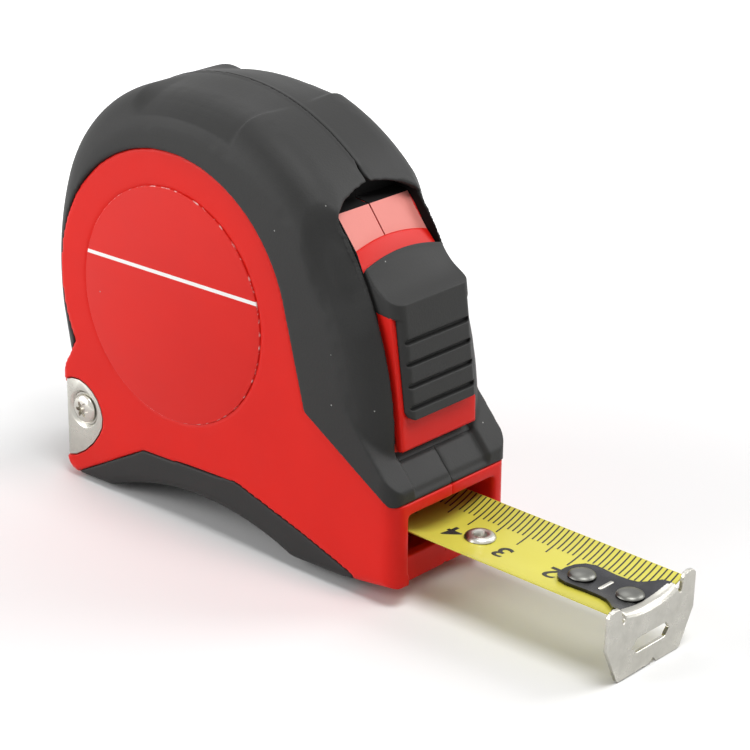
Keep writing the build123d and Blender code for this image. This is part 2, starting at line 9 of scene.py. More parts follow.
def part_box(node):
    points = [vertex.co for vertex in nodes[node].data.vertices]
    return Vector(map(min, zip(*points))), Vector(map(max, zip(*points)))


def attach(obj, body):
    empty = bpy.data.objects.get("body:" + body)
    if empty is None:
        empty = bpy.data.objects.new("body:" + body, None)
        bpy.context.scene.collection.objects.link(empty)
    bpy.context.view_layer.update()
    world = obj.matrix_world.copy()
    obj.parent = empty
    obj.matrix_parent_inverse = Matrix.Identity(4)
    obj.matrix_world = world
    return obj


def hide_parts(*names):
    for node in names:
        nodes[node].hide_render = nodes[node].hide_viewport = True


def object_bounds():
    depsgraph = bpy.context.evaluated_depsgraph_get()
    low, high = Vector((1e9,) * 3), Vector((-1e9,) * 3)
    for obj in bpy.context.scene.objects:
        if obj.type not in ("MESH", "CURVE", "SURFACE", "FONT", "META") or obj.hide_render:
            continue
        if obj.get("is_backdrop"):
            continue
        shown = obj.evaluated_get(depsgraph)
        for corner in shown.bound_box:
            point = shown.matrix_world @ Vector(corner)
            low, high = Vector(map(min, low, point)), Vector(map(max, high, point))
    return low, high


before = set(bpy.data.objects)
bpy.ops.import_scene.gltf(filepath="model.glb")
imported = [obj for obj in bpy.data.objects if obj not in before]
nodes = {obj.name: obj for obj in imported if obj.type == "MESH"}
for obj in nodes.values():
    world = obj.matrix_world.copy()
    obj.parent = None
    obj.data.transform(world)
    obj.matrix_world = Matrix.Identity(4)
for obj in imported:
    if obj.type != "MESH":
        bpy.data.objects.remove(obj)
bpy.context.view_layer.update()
MM = 0.001


# Case shells: two halves moulded in hard red plastic and screwed together on the middle seam.
# Each half starts as its solid, has its doubles merged, and gets the small radii of a mould.
RED = (0.72, 0.014, 0.008, 1)
RED_DEEP = (0.60, 0.010, 0.006, 1)
DUST_TONE = (0.30, 0.30, 0.29, 1)
DUST_SIZE = 0.055
PATCH_RANGE = (0.3, 0.7)


def select_only(piece):
    """Leaves one piece selected, and makes it the active one."""
    bpy.ops.object.select_all(action="DESELECT")
    piece.select_set(True)
    bpy.context.view_layer.objects.active = piece


def edit_all():
    """Opens the active piece for editing, with all of its mesh selected."""
    bpy.ops.object.mode_set(mode="EDIT")
    bpy.ops.mesh.select_all(action="SELECT")


def even_out(piece, grain, passes):
    """Makes a piece one skin of even faces, with the small radii of a mould on its edges."""
    select_only(piece)
    remesh = piece.modifiers.new("even faces", "REMESH")
    remesh.mode = "VOXEL"
    remesh.voxel_size = grain * MM
    bpy.ops.object.modifier_apply(modifier=remesh.name)
    smooth = piece.modifiers.new("mould radius", "SMOOTH")
    smooth.factor = 0.5
    smooth.iterations = passes
    bpy.ops.object.modifier_apply(modifier=smooth.name)
    bpy.ops.object.shade_smooth()


def join(piece, parts):
    """Makes other parts belong to a piece."""
    select_only(piece)
    for part in parts:
        part.select_set(True)
    bpy.ops.object.join()


def soften(node, name, grain, passes, added=()):
    """A copy of a solid, joined with any added pieces, with the rounded corners of the real piece."""
    piece = bpy.data.objects.new(name, nodes[node].data.copy())
    bpy.context.scene.collection.objects.link(piece)
    select_only(piece)
    piece.data.materials.clear()
    edit_all()
    bpy.ops.mesh.remove_doubles(threshold=0.001 * MM)
    bpy.ops.object.mode_set(mode="OBJECT")
    if added:
        join(piece, added)
    even_out(piece, grain, passes)
    return piece


def new_group(name, inputs, outputs):
    """An empty shader node group with float inputs and outputs, and its two end nodes."""
    group = bpy.data.node_groups.new(name, "ShaderNodeTree")
    for label, value in inputs:
        socket = group.interface.new_socket(name=label, in_out="INPUT", socket_type="NodeSocketFloat")
        socket.default_value = value
    for label in outputs:
        group.interface.new_socket(name=label, in_out="OUTPUT", socket_type="NodeSocketFloat")
    return group, group.nodes.new("NodeGroupInput"), group.nodes.new("NodeGroupOutput")


def math_node(tree, operation, *values):
    """The result of a maths node on sockets or plain numbers."""
    node = tree.nodes.new("ShaderNodeMath")
    node.operation = operation
    for socket, value in zip(node.inputs, values):
        if isinstance(value, bpy.types.NodeSocket):
            tree.links.new(value, socket)
        else:
            socket.default_value = value
    return node.outputs[0]


def spread(tree, value, source, target=(0, 1), step="LINEAR"):
    """A value carried over from one range to another."""
    node = tree.nodes.new("ShaderNodeMapRange")
    node.interpolation_type = step
    for label, limit in zip(("From Min", "From Max", "To Min", "To Max"), (*source, *target)):
        node.inputs[label].default_value = limit
    tree.links.new(value, node.inputs["Value"])
    return node.outputs["Result"]


# Mould texture: fine spark-eroded grain, and slow patches where the gloss changes
texture_group, texture_in, texture_out = new_group(
    "mould texture", (("Grain Scale", 3000), ("Patch Scale", 60)), ("Grain", "Patch")
)
texture_place = texture_group.nodes.new("ShaderNodeTexCoord")
for source, target, detail in (("Grain Scale", "Grain", 3), ("Patch Scale", "Patch", 4)):
    noise = texture_group.nodes.new("ShaderNodeTexNoise")
    noise.inputs["Detail"].default_value = detail
    texture_group.links.new(texture_place.outputs["Object"], noise.inputs["Vector"])
    texture_group.links.new(texture_in.outputs[source], noise.inputs["Scale"])
    texture_group.links.new(noise.outputs["Fac"], texture_out.inputs[target])

# Dust: sparse pale specks scattered at random, most of them on the soft grips
dust_group, dust_in, dust_out = new_group("dust specks", (("Scale", 420), ("Share", 0.03)), ("Mask",))
dust_place = dust_group.nodes.new("ShaderNodeTexCoord")
dust_cells = dust_group.nodes.new("ShaderNodeTexVoronoi")
dust_channels = dust_group.nodes.new("ShaderNodeSeparateColor")
dust_group.links.new(dust_place.outputs["Object"], dust_cells.inputs["Vector"])
dust_group.links.new(dust_in.outputs["Scale"], dust_cells.inputs["Scale"])
dust_group.links.new(dust_cells.outputs["Color"], dust_channels.inputs["Color"])
dust_small = math_node(dust_group, "LESS_THAN", dust_cells.outputs["Distance"], DUST_SIZE)
dust_picked = math_node(dust_group, "LESS_THAN", dust_channels.outputs["Red"], dust_in.outputs["Share"])
dust_mask = math_node(dust_group, "MULTIPLY", dust_small, dust_picked)
dust_group.links.new(dust_mask, dust_out.inputs["Mask"])


def blend_colours(tree, mask, low, high):
    """A colour mix node driven by a mask, whose two ends are colours or other sockets."""
    mix = tree.nodes.new("ShaderNodeMix")
    mix.data_type = "RGBA"
    tree.links.new(mask, mix.inputs["Factor"])
    for end, socket in ((low, mix.inputs["A"]), (high, mix.inputs["B"])):
        if isinstance(end, tuple):
            socket.default_value = end
        else:
            tree.links.new(end, socket)
    return mix.outputs["Result"]


def moulded(name, deep, light, gloss, shine, grain_scale, grain_depth, dust_share):
    """A moulded plastic or rubber: patchy colour and gloss, fine grain and a little dust."""
    material = bpy.data.materials.new(name)
    material.use_nodes = True
    tree = material.node_tree
    shader = tree.nodes["Principled BSDF"]
    shader.inputs["Specular IOR Level"].default_value = shine
    texture = tree.nodes.new("ShaderNodeGroup")
    texture.node_tree = texture_group
    texture.inputs["Grain Scale"].default_value = grain_scale
    dust = tree.nodes.new("ShaderNodeGroup")
    dust.node_tree = dust_group
    dust.inputs["Share"].default_value = dust_share
    body = blend_colours(tree, texture.outputs["Patch"], deep, light)
    dusty = blend_colours(tree, dust.outputs["Mask"], body, DUST_TONE)
    tree.links.new(dusty, shader.inputs["Base Color"])
    rough = spread(tree, texture.outputs["Patch"], PATCH_RANGE, gloss)
    tree.links.new(rough, shader.inputs["Roughness"])
    bump = tree.nodes.new("ShaderNodeBump")
    bump.inputs["Strength"].default_value = 0.5
    bump.inputs["Distance"].default_value = grain_depth * MM
    tree.links.new(texture.outputs["Grain"], bump.inputs["Height"])
    tree.links.new(bump.outputs["Normal"], shader.inputs["Normal"])
    return material


red_plastic = moulded(
    "red plastic", RED_DEEP, RED,
    gloss=(0.34, 0.46), shine=0.16, grain_scale=3200, grain_depth=0.03, dust_share=0.004,
)


def ease(value, start, end):
    """0 before start and 1 after end, with a smooth step between."""
    share = np.clip((value - start) / (end - start), 0, 1)
    return share * share * (3 - 2 * share)


def read_points(piece):
    """The points of a piece in millimetres, as an array."""
    places = np.zeros(3 * len(piece.data.vertices))
    piece.data.vertices.foreach_get("co", places)
    return places.reshape(-1, 3) / MM


def read_normals(piece):
    """The directions in which the points of a piece face, as an array."""
    normals = np.zeros(3 * len(piece.data.vertices))
    piece.data.vertices.foreach_get("normal", normals)
    return normals.reshape(-1, 3)


def write_points(piece, places):
    """Gives a piece the points of an array in millimetres."""
    piece.data.vertices.foreach_set("co", (places * MM).ravel())
    piece.data.update()


def settle():
    """Takes the place, turn and size of the selected piece into its mesh."""
    bpy.ops.object.transform_apply(location=True, rotation=True, scale=True)


def draw_line(name, points):
    """An object with one line of edges, drawn point by point in millimetres."""
    bpy.ops.object.select_all(action="DESELECT")
    bpy.ops.mesh.primitive_plane_add(size=MM, location=Vector(points[0]) * MM)
    piece = bpy.context.object
    piece.name = name
    settle()
    edit_all()
    bpy.ops.mesh.merge(type="CENTER")
    for start, end in zip(points, points[1:]):
        step = (Vector(end) - Vector(start)) * MM
        bpy.ops.mesh.extrude_vertices_move(TRANSFORM_OT_translate={"value": step})
    bpy.ops.object.mode_set(mode="OBJECT")
    return piece


def plate(name, points, along):
    """A flat plate: a closed outline filled, then drawn out along a vector in millimetres."""
    piece = draw_line(name, points)
    edit_all()
    bpy.ops.mesh.edge_face_add()
    bpy.ops.mesh.extrude_region_move(TRANSFORM_OT_translate={"value": Vector(along) * MM})
    bpy.ops.mesh.select_all(action="SELECT")
    bpy.ops.mesh.normals_make_consistent(inside=False)
    bpy.ops.object.mode_set(mode="OBJECT")
    return piece


def round_edges(piece, width, segments=3, angle=35):
    """Small rounded edges on a piece, with smooth faces between its sharp turns."""
    bevel = piece.modifiers.new("rounded edges", "BEVEL")
    bevel.width = width * MM
    bevel.segments = segments
    bevel.limit_method = "ANGLE"
    bevel.angle_limit = math.radians(angle)
    select_only(piece)
    bpy.ops.object.modifier_apply(modifier=bevel.name)
    bpy.ops.object.shade_smooth_by_angle(angle=math.radians(angle))


def cut(piece, tool, operation="DIFFERENCE"):
    """Cuts a piece with a tool object, or keeps what both share, and removes the tool."""
    boolean = piece.modifiers.new("cut", "BOOLEAN")
    boolean.operation = operation
    boolean.solver = "EXACT"
    boolean.object = tool
    bpy.context.view_layer.objects.active = piece
    bpy.ops.object.modifier_apply(modifier=boolean.name)
    bpy.data.objects.remove(tool)


def fit(piece, body, material, node=None):
    """Gives a finished piece its material, the body it rides on and the solid it stands for."""
    piece.data.materials.clear()
    piece.data.materials.append(material)
    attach(piece, body)
    if node:
        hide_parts(node)


EAR_OUTLINE = (
    (-29.5, 15.4), (-27.9, 16.2), (-26.5, 17.1), (-24.6, 17.8), (-22.8, 17.9), (-21.2, 17.4),
    (-19.8, 16.6), (-18.6, 15.4), (-17.8, 13.9), (-17.4, 12.3), (-17.6, 10.6), (-18.4, 9.1),
    (-19.9, 7.1), (-22.0, 5.2), (-24.2, 3.9), (-26.5, 3.2), (-29.5, 2.7),
)
CASE_SIDE = 14.0
CASE_REAR = -27.4
SEAT_DEPTH = 0.95
SEAT_GAP = 0.3
SEAT_TOP, SEAT_BOTTOM = 17.9, 2.6
SEAT_FRONT = -16.4
BACK_TOP = 16.4
SEAM_OVERLAP = 1
CUT_REAR = -40
REAR_CUT_WIDTH = 20
SIDE_CUT_DEPTH = 10


def grow(outline, gap):
    """An outline moved outwards by a gap from its own middle."""
    middle = [sum(values) / len(outline) for values in zip(*outline)]
    grown = []
    for point in outline:
        away = Vector(point) - Vector(middle)
        grown.append(tuple(Vector(point) + away.normalized() * gap))
    return grown


def oblong(start, end):
    """The four corners of an oblong between two opposite ones."""
    return [start, (end[0], start[1]), end, (start[0], end[1])]


def clip_seats(sign):
    """Shallow seats for the belt clip in a shell: round the back, and on the side for its ear or strip."""
    rear = oblong((CUT_REAR, SEAT_BOTTOM), (CASE_REAR + SEAT_DEPTH, BACK_TOP))
    rear_line = [(x, -sign * SEAM_OVERLAP, z) for x, z in rear]
    rear_seat = plate("rear seat", rear_line, (0, sign * REAR_CUT_WIDTH, 0))
    side = grow(EAR_OUTLINE, SEAT_GAP)
    if sign > 0:
        side = oblong((CUT_REAR, SEAT_BOTTOM), (SEAT_FRONT, SEAT_TOP))
    side_line = [(x, sign * (CASE_SIDE - SEAT_DEPTH), z) for x, z in side]
    return rear_seat, plate("side seat", side_line, (0, sign * SIDE_CUT_DEPTH, 0))


TRACK_SLOPE = 0.3153
TRACK_FOOT = (44.5, 21.6)
POCKET_LEVEL = 57.5
POCKET_REAR = 26.2
RELIEF = 0.5
RELIEF_FRONT = (-0.8, -0.2)
RELIEF_FOOT, RELIEF_HEAD = (44.0, 45.0), (63.0, 64.5)
RELIEF_INNER, RELIEF_OUTER = (8.2, 9.0), (10.2, 11.0)


def relieve(piece, sign):
    """Eases a shell's inner corners back round the lock's way, clear of the skins that line it."""
    places = read_points(piece)
    x, y, z = places.T
    track_face = TRACK_FOOT[0] - (z - TRACK_FOOT[1]) * TRACK_SLOPE
    start = np.where(z > POCKET_LEVEL, POCKET_REAR, track_face)
    inside = ease(x - start, *RELIEF_FRONT) * ease(z, *RELIEF_FOOT) * (1 - ease(z, *RELIEF_HEAD))
    inside *= 1 - ease(abs(y), *RELIEF_OUTER)
    places[:, 1] += sign * RELIEF * inside * ease(abs(y), *RELIEF_INNER)
    places[:, 0] -= RELIEF / 2 * inside
    write_points(piece, places)


NOSE_CORNER = (45.7, 11.5)
SHELL_CORNER_ROUND = (3.0, 2.5)


def round_nose(piece, reach):
    """Rounds the upright front corners of the nose, by a reach ahead and a reach to each side."""
    places = read_points(piece)
    ahead = np.maximum(places[:, 0] - NOSE_CORNER[0], 0)
    aside = np.maximum(abs(places[:, 1]) - NOSE_CORNER[1], 0)
    excess = np.maximum(np.hypot(ahead / reach[0], aside / reach[1]), 1)
    cornered = (ahead > 0) & (aside > 0)
    places[:, 0] = np.where(cornered, NOSE_CORNER[0] + ahead / excess, places[:, 0])
    rounded = np.sign(places[:, 1]) * (NOSE_CORNER[1] + aside / excess)
    places[:, 1] = np.where(cornered, rounded, places[:, 1])
    write_points(piece, places)


MOUTH_HALF = 10.4
MOUTH_FACE = 47.3
MOUTH_HEIGHTS = (-2.0, 5.0)
MOUTH_CUT_DEPTH = 5


def mouth_cut():
    """The sunk face under the blade, open at the bottom between the nose's two posts."""
    low, high = MOUTH_HEIGHTS
    outline = oblong((-MOUTH_HALF, low), (MOUTH_HALF, high))
    return plate("mouth cut", [(MOUTH_FACE, y, z) for y, z in outline], (MOUTH_CUT_DEPTH, 0, 0))


for side, sign in (("left", -1), ("right", 1)):
    shell = soften(f"{side}_shell", f"{side}_case_half", grain=0.45, passes=3)
    relieve(shell, sign)
    round_nose(shell, SHELL_CORNER_ROUND)
    cut(shell, mouth_cut())
    for seat in clip_seats(sign):
        cut(shell, seat)
    fit(shell, "case", red_plastic, f"{side}_shell")


# Soft grips: black rubber moulded over the back, the crown and the nose of each half.
# A shallow dished panel lies on the crown for the palm, and the rim rolls in beside the thumb lock.
RUBBER_DEEP = (0.018, 0.018, 0.018, 1)
RUBBER = (0.031, 0.031, 0.030, 1)
PALM_FRONT, PALM_RAKE = 16.2, 0.12
PALM_FALL = 10.0
PALM_WALL, PALM_STEP = 0.8, 0.4
PALM_BOW = 6.75
PALM_REAR, PALM_RUN = -9.5, 3.5
PALM_FLAT, PALM_ROUND = 7.5, 7.0
PALM_SPAN = 15.6
PALM_DEPTH = 1.2
PALM_FACING = (0.2, 0.5)
PALM_HEIGHTS = (50, 54)
RIDGE_SIDES = (0.1, 0.9)
RIDGE_HEIGHTS = (56, 60)
RIDGE_RAISE = 0.22
HOLLOW_CENTRE = (34.6, 11.5, 50.5)
HOLLOW_REACH = (6.2, 4.6, 11.0)
HOLLOW_DEPTH = 1.1
HOLLOW_EDGE = (0.45, 1)
HOLLOW_LOOK = (0.5, 0.6)
HOLLOW_FACING = (0.05, 0.3)
CHIN_TOP = (45.3, 0, 21.6)
CHIN_NORMAL = (0.762, 0, 0.648)
CHIN_HALF = 9.3
CHIN_DEPTH = 0.9
CHIN_WALL = 0.7
CHIN_FRONT = (43.0, 44.0)
CHIN_HEIGHTS = (23.0, 24.5)
GRIP_SKIN = 1.4
GRIP_CORNER_ROUND = (3.0, 3.0)
SPOOL_CENTRE = (0, 0, 37.0)
TRACK_HALF = 9.4
SEAM_HALF = 0.03
ARCH_HALF = 9.9
ARCH_STEPS = 14
POCKET_BACK = 27.6
LIP_OUTER = (60.2, 64.0)
LIP_INNER = (58.7, 61.3)
LIP_FRONT = 35.0
LIP_ROUND = 0.45
LIP_SIDE = 11.2
LIP_HEIGHTS = (56.0, 66.5)
LIP_PASSES = 25
CROWN_CENTRE = (2.30, 33.42)
CROWN_RADIUS = 39.9
CROWN_WIDTH = 30


def press_in(piece):
    """Presses the palm panel, the hollow beside the lock and the chin's channel into a grip's skin."""
    places = read_points(piece)
    normals = read_normals(piece)
    x, y, z = places.T
    side = abs(y)
    sideways = normals[:, 1] * np.sign(y)
    outward = (places - SPOOL_CENTRE) * (1, 0, 1)
    outward /= np.linalg.norm(outward, axis=1, keepdims=True)

    down = PALM_ROUND * np.arcsin(np.clip((side - PALM_FLAT) / PALM_ROUND, 0, 1))
    across = np.clip((np.minimum(side, PALM_FLAT) + down) / PALM_SPAN, 0, 1)
    behind = PALM_FRONT - PALM_RAKE * side - x
    dished = np.sin(math.pi / 2 * np.clip(behind / PALM_FALL, 0, 1))
    stepped = ease(behind, 0, PALM_WALL)
    palm = PALM_BOW * across**2 * (1 - across) * (dished + PALM_STEP * (stepped - dished))
    palm *= ease(x, PALM_REAR, PALM_REAR + PALM_RUN) * ease(z, *PALM_HEIGHTS)
    palm *= ease((normals * outward).sum(axis=1) + sideways, *PALM_FACING)
    moved = -normals * (PALM_DEPTH * palm)[:, None]

    ridge = (1 - ease(side, *RIDGE_SIDES)) * ease(z, *RIDGE_HEIGHTS)
    moved += outward * (RIDGE_RAISE * ridge)[:, None]

    off = np.stack([x + (z - HOLLOW_CENTRE[2]) * TRACK_SLOPE, side, z], 1) - HOLLOW_CENTRE
    hollowed = 1 - ease(np.linalg.norm(off / HOLLOW_REACH, axis=1), *HOLLOW_EDGE)
    hollowed *= ease(normals[:, 0] * HOLLOW_LOOK[0] + sideways * HOLLOW_LOOK[1], *HOLLOW_FACING)
    moved -= normals * (HOLLOW_DEPTH * hollowed)[:, None]

    under_skin = (places - CHIN_TOP) @ CHIN_NORMAL
    chin = ease(under_skin, -GRIP_SKIN, 0) * (1 - ease(side, CHIN_HALF - CHIN_WALL, CHIN_HALF))
    chin *= ease(x, *CHIN_FRONT) * (1 - ease(z, *CHIN_HEIGHTS))
    moved -= (CHIN_DEPTH * chin)[:, None] * CHIN_NORMAL
    write_points(piece, places + moved)


def arch_line(x, spring, apex, sign):
    """Points of half an arch across the lock's way, from the seam out to one side."""
    sides = [SEAM_HALF + (ARCH_HALF - SEAM_HALF) * step / ARCH_STEPS for step in range(ARCH_STEPS + 1)]
    return [(x, sign * y, spring + (apex - spring) * (1 - (y / TRACK_HALF) ** 2)) for y in sides]


def arched_lip(sign):
    """Half of the lip over the lock's pocket, cut off along the crown's round."""
    outline = arch_line(POCKET_BACK, *LIP_OUTER, sign) + arch_line(POCKET_BACK, *LIP_INNER, sign)[::-1]
    lip = plate("arched lip", outline, (LIP_FRONT - POCKET_BACK, 0, 0))
    bpy.ops.object.select_all(action="DESELECT")
    bpy.ops.mesh.primitive_cylinder_add(
        vertices=256, radius=CROWN_RADIUS * MM, depth=CROWN_WIDTH * MM,
        location=(CROWN_CENTRE[0] * MM, 0, CROWN_CENTRE[1] * MM), rotation=(math.pi / 2, 0, 0),
    )
    crown = bpy.context.object
    settle()
    cut(lip, crown, "INTERSECT")
    round_edges(lip, LIP_ROUND, segments=4, angle=50)
    return lip


def smooth_lip(piece):
    """Evens out the rolled edge of the lip over the lock's pocket."""
    x, y, z = read_points(piece).T
    near_lip = (x > POCKET_BACK) & (abs(y) < LIP_SIDE) & (z > LIP_HEIGHTS[0]) & (z < LIP_HEIGHTS[1])
    lip = piece.vertex_groups.new(name="lip")
    lip.add(np.flatnonzero(near_lip).tolist(), 1.0, "REPLACE")
    smooth = piece.modifiers.new("rolled edge", "SMOOTH")
    smooth.vertex_group = lip.name
    smooth.factor = 0.5
    smooth.iterations = LIP_PASSES
    bpy.context.view_layer.objects.active = piece
    bpy.ops.object.modifier_apply(modifier=smooth.name)


rubber = moulded(
    "soft grip rubber", RUBBER_DEEP, RUBBER,
    gloss=(0.48, 0.60), shine=0.20, grain_scale=2600, grain_depth=0.05, dust_share=0.08,
)
for side, sign in (("left", -1), ("right", 1)):
    grip = soften(f"{side}_grip", f"{side}_soft_grip", grain=0.30, passes=12, added=[arched_lip(sign)])
    smooth_lip(grip)
    press_in(grip)
    round_nose(grip, GRIP_CORNER_ROUND)
    fit(grip, "case", rubber, f"{side}_grip")
    belly = soften(f"{side}_belly_grip", f"{side}_belly_strip", grain=0.35, passes=4)
    fit(belly, "case", rubber, f"{side}_belly_grip")


# Side labels: thin printed discs of red film, stuck in round seats on the two sides.
# One white rule runs across each, and pale flecks along the cut rim are a painted highlight where the rim
# catches the light.
LABEL_RED = (0.70, 0.020, 0.013, 1)
LABEL_DEEP = (0.58, 0.016, 0.013, 1)
LABEL_WHITE = (0.85, 0.84, 0.82, 1)
LABEL_RADIUS = 20.1
LABEL_PROUD = 0.12
LABEL_HEIGHT = 37.0
LABEL_ROUND = 0.16
RULE_HEIGHT = 42.2
RULE_HALF = 0.32
EDGE_WIDTH = 0.1
GLINT_FLECK_SCALE = 1100
GLINT_FLECK_RANGE = (0.54, 0.80)

label_finish = moulded(
    "printed label", LABEL_DEEP, LABEL_RED,
    gloss=(0.40, 0.50), shine=0.16, grain_scale=5200, grain_depth=0.015, dust_share=0.010,
)
label_tree = label_finish.node_tree
label_place = label_tree.nodes.new("ShaderNodeTexCoord").outputs["Object"]
label_axes = label_tree.nodes.new("ShaderNodeSeparateXYZ")
label_tree.links.new(label_place, label_axes.inputs["Vector"])
label_rule = math_node(label_tree, "COMPARE", label_axes.outputs["Z"], RULE_HEIGHT * MM, RULE_HALF * MM)
label_flat = label_tree.nodes.new("ShaderNodeCombineXYZ")
label_tree.links.new(label_axes.outputs["X"], label_flat.inputs["X"])
label_tree.links.new(label_axes.outputs["Z"], label_flat.inputs["Z"])
label_out = label_tree.nodes.new("ShaderNodeVectorMath")
label_out.operation = "DISTANCE"
label_out.inputs[1].default_value = (0, 0, LABEL_HEIGHT * MM)
label_tree.links.new(label_flat.outputs["Vector"], label_out.inputs[0])
# Painted highlight: pale flecks along the label's rim; the white rule is print.
rim_start = (LABEL_RADIUS - EDGE_WIDTH) * MM
label_edge = math_node(label_tree, "GREATER_THAN", label_out.outputs["Value"], rim_start)
label_glint_noise = label_tree.nodes.new("ShaderNodeTexNoise")
label_glint_noise.inputs["Scale"].default_value = GLINT_FLECK_SCALE
label_tree.links.new(label_place, label_glint_noise.inputs["Vector"])
label_glint_flecks = spread(label_tree, label_glint_noise.outputs["Fac"], GLINT_FLECK_RANGE)
label_rim_glints = math_node(label_tree, "MULTIPLY", label_edge, label_glint_flecks)
label_print_and_glints = math_node(label_tree, "MAXIMUM", label_rule, label_rim_glints)
label_colour = label_tree.nodes["Principled BSDF"].inputs["Base Color"]
label_base = label_colour.links[0].from_socket
label_tree.links.new(blend_colours(label_tree, label_print_and_glints, label_base, LABEL_WHITE), label_colour)

for side, sign in (("left", -1), ("right", 1)):
    low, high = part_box(f"{side}_label")
    middle = (low.y + high.y + sign * LABEL_PROUD * MM) / 2
    bpy.ops.object.select_all(action="DESELECT")
    bpy.ops.mesh.primitive_cylinder_add(
        vertices=128, radius=LABEL_RADIUS * MM, depth=high.y - low.y + LABEL_PROUD * MM,
        location=(0, middle, LABEL_HEIGHT * MM), rotation=(math.pi / 2, 0, 0),
    )
    label = bpy.context.object
    label.name = f"{side}_printed_label"
    settle()
    round_edges(label, LABEL_ROUND, angle=30)
    fit(label, "case", label_finish, f"{side}_label")


# Lock track: the sloping ways that the two shells form in front, frosted where the button rubs and painted
# a paler red, a painted highlight of the lamps.
# The way ends in a pocket under an arched lip of the grips, which the button slides into; black sheets in
# the pocket and on the track's walls are painted shade.
TRACK_LINE = ((37.0, 45.4), (34.88, 52.1), (30.5, 57.9))
TRACK_SKIN = 0.14
TRACK_GAP = 0.15
POCKET_FLOOR = ((30.5, 57.9), (27.0, 58.4))
CHIN_SHADE_BAR = ((43.0, 20.4), (44.7, 20.9), (43.6, 22.25), (43.0, 22.25))
WALL_OUTLINE = (
    (43.7, 24.0), (38.7, 40.0), (34.9, 52.0), (30.4, 57.9), (27.0, 58.3),
    (27.0, 59.5), (31.8, 59.2), (36.4, 53.4), (40.5, 44.4), (43.4, 33.0), (44.5, 24.0),
)
WALL_SKIN = 0.18
POCKET_BOTTOM = 58.0
TRACK_PAINTED_LIGHT_DEEP, TRACK_PAINTED_LIGHT = (0.70, 0.20, 0.17, 1), (0.80, 0.30, 0.26, 1)
SHADE_SHEET_DEEP, SHADE_SHEET_BLACK = (0.006, 0.006, 0.006, 1), (0.012, 0.011, 0.011, 1)

# Painted highlight: a paler copy of the red plastic for the track's skins, standing for the light that
# falls on them; only their frosted gloss is real.
painted_light_red = moulded(
    "frosted red with painted light", TRACK_PAINTED_LIGHT_DEEP, TRACK_PAINTED_LIGHT,
    gloss=(0.50, 0.62), shine=0.3, grain_scale=4200, grain_depth=0.03, dust_share=0.006,
)
# Painted shade: a near-black for sheets laid where the pocket and the track's walls fall in shade.
shade_sheet_black = moulded(
    "painted shade black", SHADE_SHEET_DEEP, SHADE_SHEET_BLACK,
    gloss=(0.7, 0.85), shine=0.1, grain_scale=2600, grain_depth=0.03, dust_share=0,
)


def skin(line, sign, thickness, half):
    """A thin skin over a line of the track's profile, on one side of the seam."""
    raised = [(x + thickness, z + thickness / 2) for x, z in reversed(line)]
    outline = [(x, sign * TRACK_GAP, z) for x, z in [*line, *raised]]
    return plate("track skin", outline, (0, sign * half, 0))


for side, sign in (("left", -1), ("right", 1)):
    # Painted highlight: each track skin gets the paler red.
    track = skin(TRACK_LINE, sign, TRACK_SKIN, TRACK_HALF - 2 * WALL_SKIN)
    track.name = f"{side}_track_face"
    fit(track, "case", painted_light_red)
    # Painted shade: black sheets on the pocket's floor, on the track's side walls and on the pocket's
    # back.
    floor_shade_skin = skin(POCKET_FLOOR, sign, TRACK_SKIN, TRACK_HALF - 2 * WALL_SKIN)
    floor_shade_skin.name = f"{side}_pocket_floor_shade"
    fit(floor_shade_skin, "case", shade_sheet_black)
    wall_outline = [(x, sign * TRACK_HALF, z) for x, z in WALL_OUTLINE]
    track_wall_shade = plate(f"{side}_track_wall_shade", wall_outline, (0, -sign * WALL_SKIN, 0))
    fit(track_wall_shade, "case", shade_sheet_black)
    back_outline = arch_line(POCKET_BACK, *LIP_OUTER, sign)
    back_outline += [(POCKET_BACK, sign * half, POCKET_BOTTOM) for half in (TRACK_HALF, SEAM_HALF)]
    pocket_back_shade = plate(f"{side}_pocket_back_shade", back_outline, (WALL_SKIN, 0, 0))
    fit(pocket_back_shade, "case", shade_sheet_black)
# Painted shade: a black rubber bar fills the gap under the lock's foot, where there is only shadow.
shade_bar = plate("chin_shade_bar", [(x, -TRACK_HALF, z) for x, z in CHIN_SHADE_BAR], (0, 2 * TRACK_HALF, 0))
fit(shade_bar, "case", rubber)


# Thumb lock: a red button that slides on the track, with a black thumb pad moulded over it.
# The pad wraps over the button's flanks at the top, is scooped for the thumb and has four grooves.
BUTTON_HALF = 9.0
BUTTON_RISE = 1.3
BUTTON_CROWN = (48, 52)
PAD_CROWN = (46.5, 50)
UP_SLOPE = (-0.3007, 0, 0.9537)
PAD_UNDER = ((37.4, 50.2), (43.3, 44.6), (45.6, 27.8))
PAD_FOOT = (46.9, 27.9)
PAD_RIDGE = (44.5, 46.4)
PAD_SCOOP = (40.8, 48.1)
PAD_TOP = (38.0, 51.2)
SCOOP_STEPS = 10
PAD_HALVES = (8.3, 9.08)
PAD_CORNERS = (1.5, 2.4)
PRISM_HEIGHTS = (20.0, 56.0)
PRISM_PROUD = 0.03
PRISM_DEPTH = 5
FOOT_CORNER = 1.8
FOOT_CUT_REAR, FOOT_CUT_DEPTH, FOOT_CUT_TOP = 30, 30, 60
WRAP_LINE = ((30.0, 46.0), (50.0, 43.2))
WRAP_CUT_HALF = 20
FLAP_OUTLINE = ((37.5, 50.0), (39.6, 44.66), (44.4, 43.98), (44.2, 46.0), (41.0, 48.0))
FLAP_DEPTH = 0.6
GROOVE_COUNT = 4
GROOVE_TOP = 40.4
GROOVE_PITCH = 3.5
GROOVE_HALF = 7.7
GROOVE_ROUND = 0.42
GROOVE_DEPTH = 1.0


